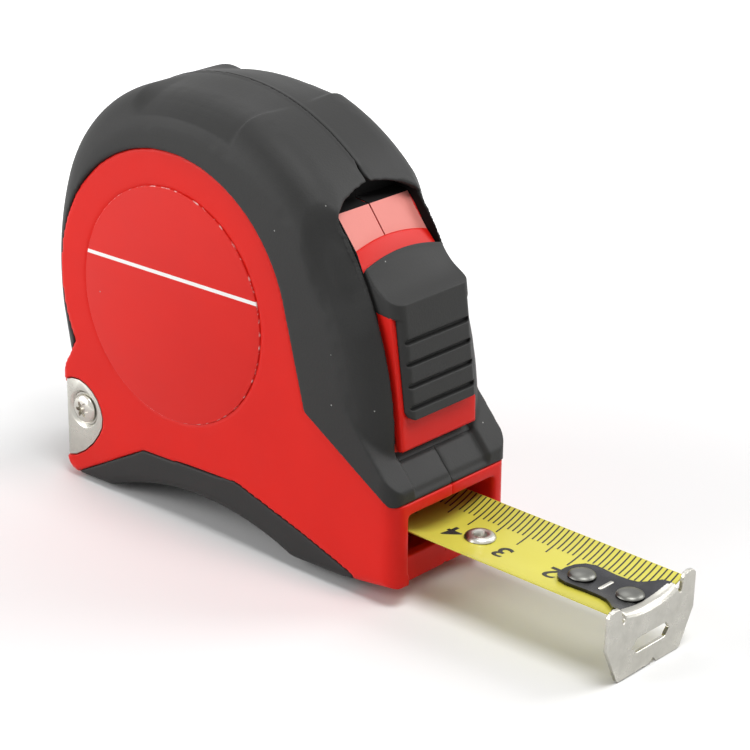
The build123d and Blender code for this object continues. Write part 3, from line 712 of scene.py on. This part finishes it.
def crown_across(piece, start, end):
    """Bows the upper end of a lock piece up its slope, most in the middle and nothing at the sides."""
    places = read_points(piece)
    bow = 1 - np.clip(places[:, 1] / BUTTON_HALF, -1, 1) ** 2
    rise = BUTTON_RISE * bow * ease(places[:, 2], start, end)
    write_points(piece, places + rise[:, None] * UP_SLOPE)


def arc(middle, radius, start, end, steps=8):
    """Points of an arc round a middle, from one angle to another."""
    turns = [start + (end - start) * step / steps for step in range(steps + 1)]
    return [(middle[0] + radius * math.cos(turn), middle[1] + radius * math.sin(turn)) for turn in turns]


def on_pad_front(height):
    """Where the pad's front face stands at a height."""
    share = (height - PAD_FOOT[1]) / (PAD_RIDGE[1] - PAD_FOOT[1])
    return PAD_FOOT[0] + share * (PAD_RIDGE[0] - PAD_FOOT[0])


def corner_prism(half, corner):
    """An upright prism that follows the pad's leaning front, with two rounded front edges."""
    base, top = PRISM_HEIGHTS
    front = on_pad_front(base) + PRISM_PROUD
    rear = PAD_UNDER[0][0] - PRISM_DEPTH
    edge = arc((front - corner, half - corner), corner, 0, math.pi / 2)
    outline = [*edge, (rear, half), (rear, -half), *((x, -y) for x, y in reversed(edge))]
    lean = on_pad_front(top) - on_pad_front(base)
    return plate("corner prism", [(x, y, base) for x, y in outline], (lean, 0, top - base))


def pad_blank(name, half, corner):
    """The pad's side profile drawn across the button, with its two upright front edges rounded."""
    shares = [step / SCOOP_STEPS for step in range(SCOOP_STEPS + 1)]
    scoop = [
        [(1 - t) * (1 - 2 * t) * r + 4 * t * (1 - t) * s + t * (2 * t - 1) * e
         for r, s, e in zip(PAD_RIDGE, PAD_SCOOP, PAD_TOP)]
        for t in shares
    ]
    profile = [(x, -half, z) for x, z in [*PAD_UNDER, PAD_FOOT, *scoop]]
    blank = plate(name, profile, (0, 2 * half, 0))
    cut(blank, corner_prism(half, corner), "INTERSECT")
    return blank


button = soften("lock_button", "thumb_button", grain=0.28, passes=5)
crown_across(button, *BUTTON_CROWN)
fit(button, "lock", red_plastic, "lock_button")

pad_half, wrap_half = PAD_HALVES
pad = pad_blank("thumb_pad", pad_half, PAD_CORNERS[0])
foot = arc((pad_half - FOOT_CORNER, PAD_UNDER[2][1] + FOOT_CORNER), FOOT_CORNER, -math.pi / 2, 0)
foot += [(pad_half, FOOT_CUT_TOP)]
foot += [(-y, z) for y, z in reversed(foot)]
foot_outline = [(FOOT_CUT_REAR, y, z) for y, z in foot]
cut(pad, plate("foot corners", foot_outline, (FOOT_CUT_DEPTH, 0, 0)), "INTERSECT")
for row in range(GROOVE_COUNT):
    height = GROOVE_TOP - row * GROOVE_PITCH
    groove = arc((GROOVE_HALF - GROOVE_ROUND, height), GROOVE_ROUND, -math.pi / 2, math.pi / 2)
    groove += [(-y, z) for y, z in reversed(groove)]
    groove = [(on_pad_front(z) + GROOVE_DEPTH, y, z) for y, z in groove]
    cut(pad, plate("groove", groove, (-2 * GROOVE_DEPTH, 0, 0)))

pad_wrap = pad_blank("pad wrap", wrap_half, PAD_CORNERS[1])
under_wrap = [(x, -WRAP_CUT_HALF, z) for x, z in WRAP_LINE]
under_wrap += [(x, -WRAP_CUT_HALF, 0) for x, z in reversed(WRAP_LINE)]
cut(pad_wrap, plate("under the wrap", under_wrap, (0, 2 * WRAP_CUT_HALF, 0)))
pad_parts = [pad_wrap]
for sign in (-1, 1):
    flap = plate("flap", [(x, sign * wrap_half, z) for x, z in FLAP_OUTLINE], (0, -sign * FLAP_DEPTH, 0))
    cut(flap, corner_prism(wrap_half, PAD_CORNERS[1]), "INTERSECT")
    pad_parts.append(flap)
join(pad, pad_parts)
even_out(pad, grain=0.15, passes=4)
crown_across(pad, *PAD_CROWN)
fit(pad, "lock", rubber, "button_pad")


# Belt clip: one strip of plated spring steel let into the case, round its back.
# An ear holds it on the label side, and on the other side its tongue stands off to grip a belt.
NICKEL_DEEP, NICKEL = (0.38, 0.37, 0.335, 1), (0.62, 0.605, 0.55, 1)
CLIP_THICKNESS = 0.8
CLIP_SIDE = 13.55
CLIP_BACK = -26.95
CLIP_BEND = 1.8
CLIP_STEP = (-17.4, -11.4)
CLIP_STEP_ROWS = 10
CLIP_STAND = 17.0
CLIP_FRONT = 25.0
CLIP_LIP_START = 19.0
CLIP_LIP = 2.2
CLIP_LIP_ROWS = 8
CLIP_HEIGHTS = (2.9, 17.9)
TONGUE_OUTLINE = (
    (-32, 2.9), (21.8, 2.9), (23.4, 3.4), (24.6, 4.6), (25.0, 6.2), (25.0, 13.6), (24.6, 15.2),
    (23.4, 16.4), (21.8, 17.0), (-18.0, 17.0), (-22.0, 16.9), (-26.5, 16.2), (-32, 16.2),
)
CUT_FRONT, CUT_TOP, CUT_BOTTOM = 40, 40, -10
EAR_CUT, TONGUE_CUT = -30, 8
SHEET_CUT_DEPTH = 22
SCREW_DEEP, SCREW_BRIGHT = (0.42, 0.40, 0.36, 1), (0.72, 0.70, 0.64, 1)
SOCKET_STEPS = 72
SOCKET_LOBE = 0.24
CLIP_SCREW = (-22.0, 12.8)
DISH_PROFILE = ((0, 1.0), (3.5, 1.0), (3.45, 0.02), (3.2, -0.16), (2.9, -0.5), (0, -0.5))
CLIP_SCREW_PROFILE = (
    (0, 0.50), (1.0, 0.48), (1.7, 0.38), (2.2, 0.20), (2.5, -0.08), (2.55, -0.3), (2.3, -0.46),
    (1.45, -0.48), (1.45, -3.6), (0, -3.9),
)


# Rolled metal: fine lines along one way, and dull worn patches
metal_group, metal_in, metal_out = new_group(
    "rolled metal", (("Line Scale", 900), ("Stretch", 0.06)), ("Lines", "Wear")
)
metal_place = metal_group.nodes.new("ShaderNodeTexCoord")
metal_stretch = metal_group.nodes.new("ShaderNodeCombineXYZ")
metal_stretch.inputs["X"].default_value = 1
metal_stretch.inputs["Z"].default_value = 1
metal_group.links.new(metal_in.outputs["Stretch"], metal_stretch.inputs["Y"])
metal_scaled = metal_group.nodes.new("ShaderNodeVectorMath")
metal_scaled.operation = "MULTIPLY"
metal_group.links.new(metal_place.outputs["Object"], metal_scaled.inputs[0])
metal_group.links.new(metal_stretch.outputs["Vector"], metal_scaled.inputs[1])
metal_lines = metal_group.nodes.new("ShaderNodeTexNoise")
metal_lines.inputs["Detail"].default_value = 4
metal_group.links.new(metal_scaled.outputs["Vector"], metal_lines.inputs["Vector"])
metal_group.links.new(metal_in.outputs["Line Scale"], metal_lines.inputs["Scale"])
metal_group.links.new(metal_lines.outputs["Fac"], metal_out.inputs["Lines"])
metal_wear = metal_group.nodes.new("ShaderNodeTexNoise")
metal_wear.inputs["Scale"].default_value = 330
metal_wear.inputs["Detail"].default_value = 6
metal_wear.inputs["Roughness"].default_value = 0.65
metal_group.links.new(metal_place.outputs["Object"], metal_wear.inputs["Vector"])
metal_group.links.new(metal_wear.outputs["Fac"], metal_out.inputs["Wear"])


def steel(name, deep, light, gloss, stretch):
    """A bare or plated steel whose tone and gloss follow its rolled lines and worn patches."""
    material = bpy.data.materials.new(name)
    material.use_nodes = True
    tree = material.node_tree
    shader = tree.nodes["Principled BSDF"]
    shader.inputs["Metallic"].default_value = 1.0
    lines = tree.nodes.new("ShaderNodeGroup")
    lines.node_tree = metal_group
    lines.inputs["Stretch"].default_value = stretch
    tree.links.new(blend_colours(tree, lines.outputs["Wear"], deep, light), shader.inputs["Base Color"])
    rough = spread(tree, lines.outputs["Wear"], PATCH_RANGE, gloss[::-1])
    tree.links.new(rough, shader.inputs["Roughness"])
    bump = tree.nodes.new("ShaderNodeBump")
    bump.inputs["Strength"].default_value = 0.35
    bump.inputs["Distance"].default_value = 0.02 * MM
    tree.links.new(lines.outputs["Lines"], bump.inputs["Height"])
    tree.links.new(bump.outputs["Normal"], shader.inputs["Normal"])
    return material


nickel = steel("plated nickel", NICKEL_DEEP, NICKEL, gloss=(0.22, 0.42), stretch=0.06)


def turned(name, profile):
    """A turned piece: a profile spun round an upright axis through the origin."""
    piece = draw_line(name, [(radius, 0, height) for radius, height in profile])
    edit_all()
    bpy.ops.mesh.spin(steps=48, angle=2 * math.pi, center=(0, 0, 0), axis=(0, 0, 1))
    bpy.ops.mesh.select_all(action="SELECT")
    bpy.ops.mesh.remove_doubles(threshold=0.003 * MM)
    bpy.ops.mesh.normals_make_consistent(inside=False)
    bpy.ops.object.mode_set(mode="OBJECT")
    bpy.ops.object.shade_smooth_by_angle(angle=math.radians(40))
    return piece


def put(piece, matrix):
    """Moves a piece drawn at the origin into its place, and keeps that place in its mesh."""
    select_only(piece)
    piece.matrix_world = matrix
    settle()
    return piece


def thicken(piece, thickness, side):
    """Gives a sheet its thickness: inwards (-1), outwards (1) or both ways (0)."""
    sheet = piece.modifiers.new("sheet", "SOLIDIFY")
    sheet.thickness = thickness * MM
    sheet.offset = side
    bpy.context.view_layer.objects.active = piece
    bpy.ops.object.modifier_apply(modifier=sheet.name)


def facing_side(x, y, z, sign):
    """The place of a screw on the case's side, with its axis pointing out of that side."""
    return Matrix.Translation(Vector((x, y, z)) * MM) @ Matrix.Rotation(-sign * math.pi / 2, 4, "X")


def lobed_socket(lobes, radius, depth, top):
    """A lobed prism that cuts a driver's socket into a screw head from above."""
    outline = []
    for step in range(SOCKET_STEPS):
        turn = 2 * math.pi * step / SOCKET_STEPS
        reach = radius * (1 - SOCKET_LOBE + SOCKET_LOBE * math.cos(lobes * turn))
        outline.append((reach * math.cos(turn), reach * math.sin(turn), top - depth))
    return plate("socket", outline, (0, 0, 2 * depth))


def around(kept, y):
    """A frame-shaped outline that cuts away all of the clip's side except the kept shape."""
    outline = oblong((CUT_REAR, CUT_TOP), (CUT_FRONT, CUT_BOTTOM))
    outline += [(CUT_REAR, kept[0][1]), *kept, (CUT_REAR, kept[-1][1])]
    return [(x, y, z) for x, z in outline]


bend_x, bend_y = CLIP_BACK + CLIP_BEND, CLIP_SIDE - CLIP_BEND
clip_line = [(SEAT_FRONT, -CLIP_SIDE)]
clip_line += arc((bend_x, -bend_y), CLIP_BEND, -math.pi / 2, -math.pi, steps=6)
clip_line += arc((bend_x, bend_y), CLIP_BEND, math.pi, math.pi / 2, steps=6)
for step in range(CLIP_STEP_ROWS + 1):
    share = step / CLIP_STEP_ROWS
    rise = (1 - math.cos(math.pi * share)) / 2
    along = CLIP_STEP[0] + share * (CLIP_STEP[1] - CLIP_STEP[0])
    clip_line.append((along, CLIP_SIDE + rise * (CLIP_STAND - CLIP_SIDE)))
for step in range(CLIP_LIP_ROWS + 1):
    share = step / CLIP_LIP_ROWS
    along = CLIP_LIP_START + share * (CLIP_FRONT - CLIP_LIP_START)
    clip_line.append((along, CLIP_STAND + CLIP_LIP * share**2))
clip = draw_line("belt_clip_strip", [(x, y, CLIP_HEIGHTS[0]) for x, y in clip_line])
edit_all()
clip_rise = (0, 0, (CLIP_HEIGHTS[1] - CLIP_HEIGHTS[0]) * MM)
bpy.ops.mesh.extrude_region_move(TRANSFORM_OT_translate={"value": clip_rise})
bpy.ops.object.mode_set(mode="OBJECT")
thicken(clip, CLIP_THICKNESS, 0)
cut(clip, plate("round the ear", around(EAR_OUTLINE[::-1], EAR_CUT), (0, SHEET_CUT_DEPTH, 0)))
cut(clip, plate("round the tongue", around(TONGUE_OUTLINE, TONGUE_CUT), (0, SHEET_CUT_DEPTH, 0)))
screw_steel = steel("clip screw", SCREW_DEEP, SCREW_BRIGHT, gloss=(0.16, 0.30), stretch=0.5)
for side, sign in (("left", -1), ("right", 1)):
    seat = facing_side(CLIP_SCREW[0], sign * (CLIP_SIDE + CLIP_THICKNESS / 2), CLIP_SCREW[1], sign)
    cut(clip, put(turned("dish", DISH_PROFILE), seat))
    screw = turned(f"{side}_clip_screw", CLIP_SCREW_PROFILE)
    cut(screw, lobed_socket(lobes=6, radius=1.5, depth=0.7, top=CLIP_SCREW_PROFILE[0][1]))
    fit(put(screw, seat), "case", screw_steel, "clip_screws" if sign < 0 else None)
round_edges(clip, width=0.12)
fit(clip, "case", nickel, "belt_clip")


# Case screws: three pan-headed steel screws that hold the two halves together.
# They are sunk in holes in the right side, and their sockets have four lobes.
CASE_SCREW_PLACES = ((-21.6, 52.4), (22.5, 61.5), (40.0, 16.6))
CASE_SCREW_TOP = 12.8
CASE_SCREW_PROFILE = (
    (0, 0), (1.2, -0.04), (1.8, -0.2), (2.1, -0.55), (2.1, -1.5), (1.25, -1.55), (1.25, -17.5), (0, -18.6),
)
for number, (x, z) in enumerate(CASE_SCREW_PLACES, start=1):
    screw = turned(f"case_screw_{number}", CASE_SCREW_PROFILE)
    cut(screw, lobed_socket(lobes=4, radius=1.6, depth=0.8, top=0))
    put(screw, facing_side(x, CASE_SCREW_TOP, z, 1))
    fit(screw, "case", screw_steel, "case_screws" if number == 1 else None)


# Blade: hollow spring steel with a yellow lacquer, wound on the spool behind the mouth.
# The lacquer is satin with a faint mottle, and the same finish goes on to the coil inside.
LACQUER_DEEP, LACQUER = (0.56, 0.50, 0.05, 1), (0.66, 0.62, 0.09, 1)
yellow_lacquer = moulded(
    "yellow lacquer", LACQUER_DEEP, LACQUER,
    gloss=(0.30, 0.42), shine=0.4, grain_scale=4200, grain_depth=0.008, dust_share=0.004,
)


def finish(names, material):
    """Gives solids that serve as they are their material."""
    for name in names:
        nodes[name].data.materials.clear()
        nodes[name].data.materials.append(material)


finish(("blade", "blade_lead", "blade_coil"), yellow_lacquer)


# End hook: one bent plate of plated steel whose dark tang lies in the blade's hollow.
# The plate turns down over a rounded bend, with an ear left standing at each side and a nail slot.
HOOK_ORIGIN = (87.4, 0, 8.47)
BLADE_FALL = math.radians(1.86)
BLADE_RADIUS = 22.16
BLADE_SAGITTA = 2.0
BLADE_THICKNESS = 0.22
TANG_BOTTOM = 0.36
TANG_THICKNESS = 0.5
PLATE_THICKNESS = 0.8
BEND_RADIUS = 1.3
BEND_HALF = 6.6
BEND_ROWS = 12
BEND_START = -1.3
BEND_LIFT = 0.02
BEND_PROUD = 0.01
BEND_SKIRT = 1.2
HOOK_HALF_OUTLINE = (
    (6.9, -1.5), (7.2, -1.75), (7.5, -1.6), (7.7, -0.6), (7.9, 0.6), (8.4, 1.2), (9.4, 1.35),
    (10.4, 1.15), (10.95, 0.5), (11.0, -0.4), (11.0, -5.3), (8.0, -11.2), (7.6, -11.45),
)
HOOK_TOP_SIDES = (-6.4, -4.8, -3.2, -1.6, 0, 1.6, 3.2, 4.8, 6.4)
HOOK_TOP_LIFT = 0.1
HOOK_NOTCH = ((2.0, -11.45), (1.3, -10.6), (0.9, -10.6), (0.3, -11.2))
NAIL_SLOT = ((-4.6, -6.75), (-3.5, -5.55), (3.9, -5.55), (5.0, -6.75), (3.9, -7.95), (-3.5, -7.95))
TANG_OUTLINE = (
    (-0.6, 6.6), (-2.2, 6.3), (-3.6, 5.0), (-5.0, 4.0), (-6.6, 3.65), (-9.0, 3.6), (-11.2, 3.8),
    (-13.0, 3.9), (-14.6, 3.4), (-15.8, 2.2), (-16.3, 0.6),
)
TANG_BLANK = (-18.0, 0.2)
TANG_BLANK_HALF = 9.0
TANG_CUT_BOTTOM, TANG_CUT_DEPTH = -4, 8
SLOT_CUT_REAR, SLOT_CUT_DEPTH = -2, 5
TANG_DARK_DEEP, TANG_DARK = (0.022, 0.022, 0.024, 1), (0.055, 0.055, 0.06, 1)
RIB_SIZE = (0.7, 3.4, 0.4)
RIB_DISTANCE = 8.1
blade_frame = Matrix.Translation(Vector(HOOK_ORIGIN) * MM) @ Matrix.Rotation(BLADE_FALL, 4, "Y")


def hollow(across):
    """Height of the blade's underside below its edges, at a distance from its middle."""
    return BLADE_RADIUS - math.sqrt(BLADE_RADIUS**2 - across**2) - BLADE_SAGITTA


def curved_strip(name, start, end, half, lift, thickness):
    """A strip bent to the blade's hollow, from start to end along it, with a thickness upwards."""
    bpy.ops.object.select_all(action="DESELECT")
    bpy.ops.mesh.primitive_grid_add(x_subdivisions=30, y_subdivisions=40, size=1)
    piece = bpy.context.object
    piece.name = name
    for vertex in piece.data.vertices:
        along, across = (vertex.co.x + 0.5) * (end - start) + start, vertex.co.y * 2 * half
        vertex.co = Vector((along, across, hollow(across) + lift)) * MM
    thicken(piece, thickness, 1)
    return piece


# The tang gets a near-black copy of the plate's steel.
dark_tang_steel = steel("dark tang steel", TANG_DARK_DEEP, TANG_DARK, gloss=(0.20, 0.36), stretch=0.3)
tang = curved_strip("hook_tang", *TANG_BLANK, TANG_BLANK_HALF, TANG_BOTTOM, TANG_THICKNESS)
tang_outline = [(x, y, TANG_CUT_BOTTOM) for x, y in TANG_OUTLINE]
tang_outline += [(x, -y, TANG_CUT_BOTTOM) for x, y in reversed(TANG_OUTLINE)]
cut(tang, plate("tang blank", tang_outline, (0, 0, TANG_CUT_DEPTH)), "INTERSECT")
round_edges(tang, width=0.12)
fit(put(tang, blade_frame), "hook", dark_tang_steel)

# The bend runs from the tang's root over a quarter round into the plate
bpy.ops.object.select_all(action="DESELECT")
bpy.ops.mesh.primitive_grid_add(x_subdivisions=BEND_ROWS, y_subdivisions=40, size=1)
bend = bpy.context.object
bend.name = "hook_bend"
plate_face = PLATE_THICKNESS + BEND_PROUD
for vertex in bend.data.vertices:
    row = round((vertex.co.x + 0.5) * BEND_ROWS)
    across = vertex.co.y * 2 * BEND_HALF
    top = hollow(across) + TANG_BOTTOM + TANG_THICKNESS
    if row == 0:
        along, height = BEND_START, top + BEND_LIFT
    elif row == BEND_ROWS:
        along, height = plate_face, top - BEND_RADIUS - BEND_SKIRT
    else:
        turn = math.pi / 2 * (row - 1) / (BEND_ROWS - 2)
        along = plate_face - BEND_RADIUS + BEND_RADIUS * math.sin(turn)
        height = top + BEND_LIFT - BEND_RADIUS + BEND_RADIUS * math.cos(turn)
    vertex.co = Vector((along, across, height)) * MM
thicken(bend, TANG_THICKNESS, -1)
round_edges(bend, width=0.1)

hook_outline = [(0, y, z) for y, z in (*HOOK_HALF_OUTLINE, *HOOK_NOTCH)]
hook_outline += [(0, -y, z) for y, z in reversed(HOOK_HALF_OUTLINE)]
hook_outline += [(0, y, hollow(y) + HOOK_TOP_LIFT) for y in HOOK_TOP_SIDES]
hook_plate = plate("hook_plate", hook_outline, (PLATE_THICKNESS, 0, 0))
slot_outline = [(SLOT_CUT_REAR, y, z) for y, z in NAIL_SLOT]
cut(hook_plate, plate("nail slot", slot_outline, (SLOT_CUT_DEPTH, 0, 0)))
join(hook_plate, [bend])
even_out(hook_plate, grain=0.13, passes=4)
fit(put(hook_plate, blade_frame), "hook", nickel, "end_hook")

# A pressed rib stands across the tang between the rivets
tang_top = hollow(0) + TANG_BOTTOM + TANG_THICKNESS
bpy.ops.object.select_all(action="DESELECT")
bpy.ops.mesh.primitive_cube_add(size=1)
rib = bpy.context.object
rib.name = "hook_rib"
rib.scale = Vector(RIB_SIZE) * MM
rib.location = Vector((-RIB_DISTANCE, 0, tang_top)) * MM
settle()
round_edges(rib, width=0.17)
fit(put(rib, blade_frame), "hook", nickel)


# Rivets and eyelet: turned steel studs, pressed through the blade.
# The rivets have domed heads over the tang; the eyelet further back has a rolled rim.
RIVET_DISTANCES = (3.5, 12.7)
RIVET_PROFILE = (
    (0, 0.62), (0.7, 0.60), (1.3, 0.50), (1.8, 0.34), (2.15, 0.12), (2.25, -0.06), (2.15, -0.16),
    (1.2, -0.16), (1.2, -1.5), (2.1, -1.5), (2.1, -1.9), (0, -1.9),
)
RIVET_LIFT = 0.28
RIVET_DEEP, RIVET = (0.10, 0.10, 0.092, 1), (0.20, 0.20, 0.185, 1)
EYELET_DISTANCE = 32.9
EYELET_PROFILE = (
    (0, -0.30), (0.4, -0.32), (0.62, -0.45), (0.85, -0.40), (0.95, 0.2), (1.15, 0.56), (1.55, 0.7),
    (2.05, 0.62), (2.45, 0.36), (2.6, 0.04), (2.5, -0.14), (1.5, -0.16), (1.5, -0.55), (2.4, -0.6),
    (2.3, -0.95), (0, -0.95),
)
EYELET_LIFT = 0.2

rivet_steel = steel("rivet steel", RIVET_DEEP, RIVET, gloss=(0.28, 0.44), stretch=0.5)
for number, distance in enumerate(RIVET_DISTANCES, start=1):
    rivet = turned(f"hook_rivet_{number}", RIVET_PROFILE)
    put(rivet, blade_frame @ Matrix.Translation(Vector((-distance, 0, tang_top + RIVET_LIFT)) * MM))
    fit(rivet, "blade", rivet_steel, "hook_rivets" if number == 1 else None)
eyelet = turned("blade_stop_eyelet", EYELET_PROFILE)
eyelet_seat = hollow(0) + BLADE_THICKNESS + EYELET_LIFT
put(eyelet, blade_frame @ Matrix.Translation(Vector((-EYELET_DISTANCE, 0, eyelet_seat)) * MM))
fit(eyelet, "blade", nickel, "blade_eyelet")


# Blade print: black ink on the lacquer, a line at each millimetre along the far edge.
# Every fifth and tenth line is longer, and each centimetre has its number on the blade's middle.
INK_LIFT = 0.02
INK_THICKNESS = 0.02
SCALE_ZERO = 2.8
TICK_WIDTH = 0.27
TICK_LENGTHS = {0: 7.0, 5: 6.0}
SHORT_TICK = 4.4
BLADE_EDGE = 9.1
FIRST_TICK, LAST_TICK = 4, 65
FIRST_NUMBER, LAST_NUMBER = 2, 6
INK_DEEP, INK = (0.010, 0.010, 0.010, 1), (0.022, 0.021, 0.020, 1)
DIGIT_SIZE = 5.6
DIGIT_WEIGHT = 0.08
DIGIT_MIDDLE = -1.4


def lay_on_blade(piece, cuts):
    """Cuts a flat print into small faces and lays each point on the blade's upper side."""
    select_only(piece)
    settle()
    edit_all()
    bpy.ops.mesh.remove_doubles(threshold=0.002 * MM)
    bpy.ops.mesh.subdivide(number_cuts=cuts)
    bpy.ops.object.mode_set(mode="OBJECT")
    for vertex in piece.data.vertices:
        vertex.co.z = (hollow(vertex.co.y / MM) + BLADE_THICKNESS + INK_LIFT) * MM
    thicken(piece, INK_THICKNESS, 1)


black_ink = moulded(
    "black ink", INK_DEEP, INK,
    gloss=(0.40, 0.55), shine=0.4, grain_scale=6000, grain_depth=0.004, dust_share=0,
)
ticks = []
for millimetre in range(FIRST_TICK, LAST_TICK + 1):
    length = TICK_LENGTHS.get(millimetre % 10, SHORT_TICK)
    tick_place = (SCALE_ZERO - millimetre, BLADE_EDGE - length / 2, 0)
    bpy.ops.mesh.primitive_plane_add(size=1, location=Vector(tick_place) * MM)
    bpy.context.object.scale = (TICK_WIDTH * MM, length * MM, 1)
    settle()
    ticks.append(bpy.context.object)
scale_lines = ticks[0]
join(scale_lines, ticks[1:])
scale_lines.name = "blade_scale_lines"
lay_on_blade(scale_lines, cuts=7)
fit(put(scale_lines, blade_frame), "blade", black_ink)
for number in range(FIRST_NUMBER, LAST_NUMBER + 1):
    bpy.ops.object.select_all(action="DESELECT")
    bpy.ops.object.text_add()
    digit = bpy.context.object
    digit.name = f"blade_number_{number}"
    digit.data.body = str(number)
    digit.data.size = DIGIT_SIZE * MM
    digit.data.offset = DIGIT_WEIGHT * MM
    digit.data.align_x = "CENTER"
    digit.data.align_y = "CENTER"
    bpy.ops.object.convert(target="MESH")
    digit = bpy.context.object
    digit.rotation_euler = (0, 0, math.pi)
    digit.location = ((SCALE_ZERO - 10 * number) * MM, DIGIT_MIDDLE * MM, 0)
    lay_on_blade(digit, cuts=3)
    fit(put(digit, blade_frame), "blade", black_ink)


# Inner works: the spool, its cover and the brake arm are grey mouldings; spindle and springs are steel.
# The shells close them in and they show only through the slot, so their solids serve as they are.
INNER_DEEP, INNER_GREY = (0.10, 0.10, 0.105, 1), (0.16, 0.16, 0.165, 1)
inner_plastic = moulded(
    "inner plastic", INNER_DEEP, INNER_GREY,
    gloss=(0.40, 0.55), shine=0.4, grain_scale=3000, grain_depth=0.03, dust_share=0.004,
)
finish(("spool", "spool_cover", "brake_arm"), inner_plastic)
finish(("spindle", "power_spring", "detent_spring"), nickel)


# Stage: white paper that the rear foot and the hook's tip stand on, lit by four softboxes.
# The paper keeps the object's shadow and passes into the white surround further out, where it glows white
# for the camera; near the object the glow is left out, a painted shade round the object.
FLOOR_PLACE = (-0.025, 0, -0.0004)
FLOOR_SIZE = 8
FLOOR_TILT = math.atan2(2.7, 114.5)
WHITE = (1, 1, 1, 1)
PAPER_TONE = (0.70, 0.70, 0.70, 1)
PAPER_SEEN = (0.80, 0.80, 0.80, 1)
PAPER_PAINTED_GLOW = (0.0, 0.60)
PAPER_FADE = (0.07, 0.24)
PAPER_MIDDLE = (0.055, 0, 0)
SURROUND_LIGHT = 0.17
LAMP_AIM = (0.02, 0, 0.035)


def seen_rays(tree):
    """1 for the rays of the camera, of gloss and of glass, and 0 for the rays that light the object."""
    path = tree.nodes.new("ShaderNodeLightPath")
    total = path.outputs["Is Camera Ray"]
    for kind in ("Is Glossy Ray", "Is Transmission Ray"):
        total = math_node(tree, "MAXIMUM", total, path.outputs[kind])
    return total


bpy.ops.object.select_all(action="DESELECT")
bpy.ops.mesh.primitive_plane_add(size=FLOOR_SIZE, location=FLOOR_PLACE, rotation=(0, FLOOR_TILT, 0))
floor = bpy.context.object
floor.name = "floor"
paper = bpy.data.materials.new("white paper")
paper.use_nodes = True
paper_tree = paper.node_tree
paper_shader = paper_tree.nodes["Principled BSDF"]
paper_shader.inputs["Emission Color"].default_value = WHITE
paper_rays = seen_rays(paper_tree)
paper_place = paper_tree.nodes.new("ShaderNodeTexCoord")
paper_far = paper_tree.nodes.new("ShaderNodeVectorMath")
paper_far.operation = "DISTANCE"
paper_far.inputs[1].default_value = PAPER_MIDDLE
paper_tree.links.new(paper_place.outputs["Object"], paper_far.inputs[0])
# Painted shade: the camera's glow on the paper fades in with distance, so the paper round the object is
# left darker than the white further out.
paper_painted_fade = spread(paper_tree, paper_far.outputs["Value"], PAPER_FADE, PAPER_PAINTED_GLOW, "SMOOTHSTEP")
paper_painted_glow = math_node(paper_tree, "MULTIPLY", paper_rays, paper_painted_fade)
paper_seen = blend_colours(paper_tree, paper_rays, PAPER_TONE, PAPER_SEEN)
paper_tree.links.new(paper_seen, paper_shader.inputs["Base Color"])
paper_tree.links.new(paper_painted_glow, paper_shader.inputs["Emission Strength"])
paper_shader.inputs["Roughness"].default_value = 0.9
paper_shader.inputs["Specular IOR Level"].default_value = 0.1
floor.data.materials.append(paper)
floor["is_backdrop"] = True

world = bpy.data.worlds.new("white surround")
bpy.context.scene.world = world
world.use_nodes = True
world_tree = world.node_tree
surround = world_tree.nodes["Background"]
surround.inputs["Color"].default_value = WHITE
surround.inputs["Strength"].default_value = SURROUND_LIGHT
seen = world_tree.nodes.new("ShaderNodeBackground")
seen.inputs["Color"].default_value = WHITE
choose = world_tree.nodes.new("ShaderNodeMixShader")
world_tree.links.new(seen_rays(world_tree), choose.inputs["Fac"])
world_tree.links.new(surround.outputs["Background"], choose.inputs[1])
world_tree.links.new(seen.outputs["Background"], choose.inputs[2])
world_tree.links.new(choose.outputs["Shader"], world_tree.nodes["World Output"].inputs["Surface"])

for name, place, size, power in (
    ("side softbox", (-0.30, -0.42, 0.23), 0.42, 2.35),
    ("rear softbox", (0.32, 0.52, 0.43), 0.35, 2.4),
    ("back softbox", (-0.28, 0.26, 0.62), 0.40, 0.8),
    ("top softbox", (0.26, -0.05, 0.72), 0.35, 3.9),
):
    lamp = bpy.data.lights.new(name, "AREA")
    lamp.energy = power
    lamp.size = size
    holder = bpy.data.objects.new(name, lamp)
    holder.visible_camera = False
    bpy.context.scene.collection.objects.link(holder)
    aim = Vector(place) - Vector(LAMP_AIM)
    holder.matrix_world = Matrix.Translation(place) @ aim.to_track_quat("Z", "Y").to_matrix().to_4x4()


# Camera: it stands at the photograph's own angle, found from the blade's scale and the case's edges.
# The long lens keeps the far edges nearly parallel to the near ones.
CAMERA_ANGLES = (41.38, 21.70, 0.38)
CAMERA_PLACE = (0.29755, -0.30130, 0.18928)
CAMERA_LENS = 129.6
CAMERA_SENSOR = 36
azimuth, elevation, roll = (math.radians(angle) for angle in CAMERA_ANGLES)
ahead = Vector((math.sin(azimuth), -math.cos(azimuth), 0))
back = ahead * math.cos(elevation) + Vector((0, 0, math.sin(elevation)))
right = Vector((math.cos(azimuth), math.sin(azimuth), 0))
up = back.cross(right)
across = right * math.cos(roll) + up * math.sin(roll)
upward = up * math.cos(roll) - right * math.sin(roll)
camera = bpy.data.objects.new("photo camera", bpy.data.cameras.new("photo camera"))
bpy.context.scene.collection.objects.link(camera)
turn = Matrix((across, upward, back)).transposed().to_4x4()
camera.matrix_world = Matrix.Translation(CAMERA_PLACE) @ turn
camera.data.sensor_width = CAMERA_SENSOR
camera.data.lens = CAMERA_LENS
bpy.context.scene.camera = camera
bpy.context.scene.view_settings.view_transform = "Standard"

low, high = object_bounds()
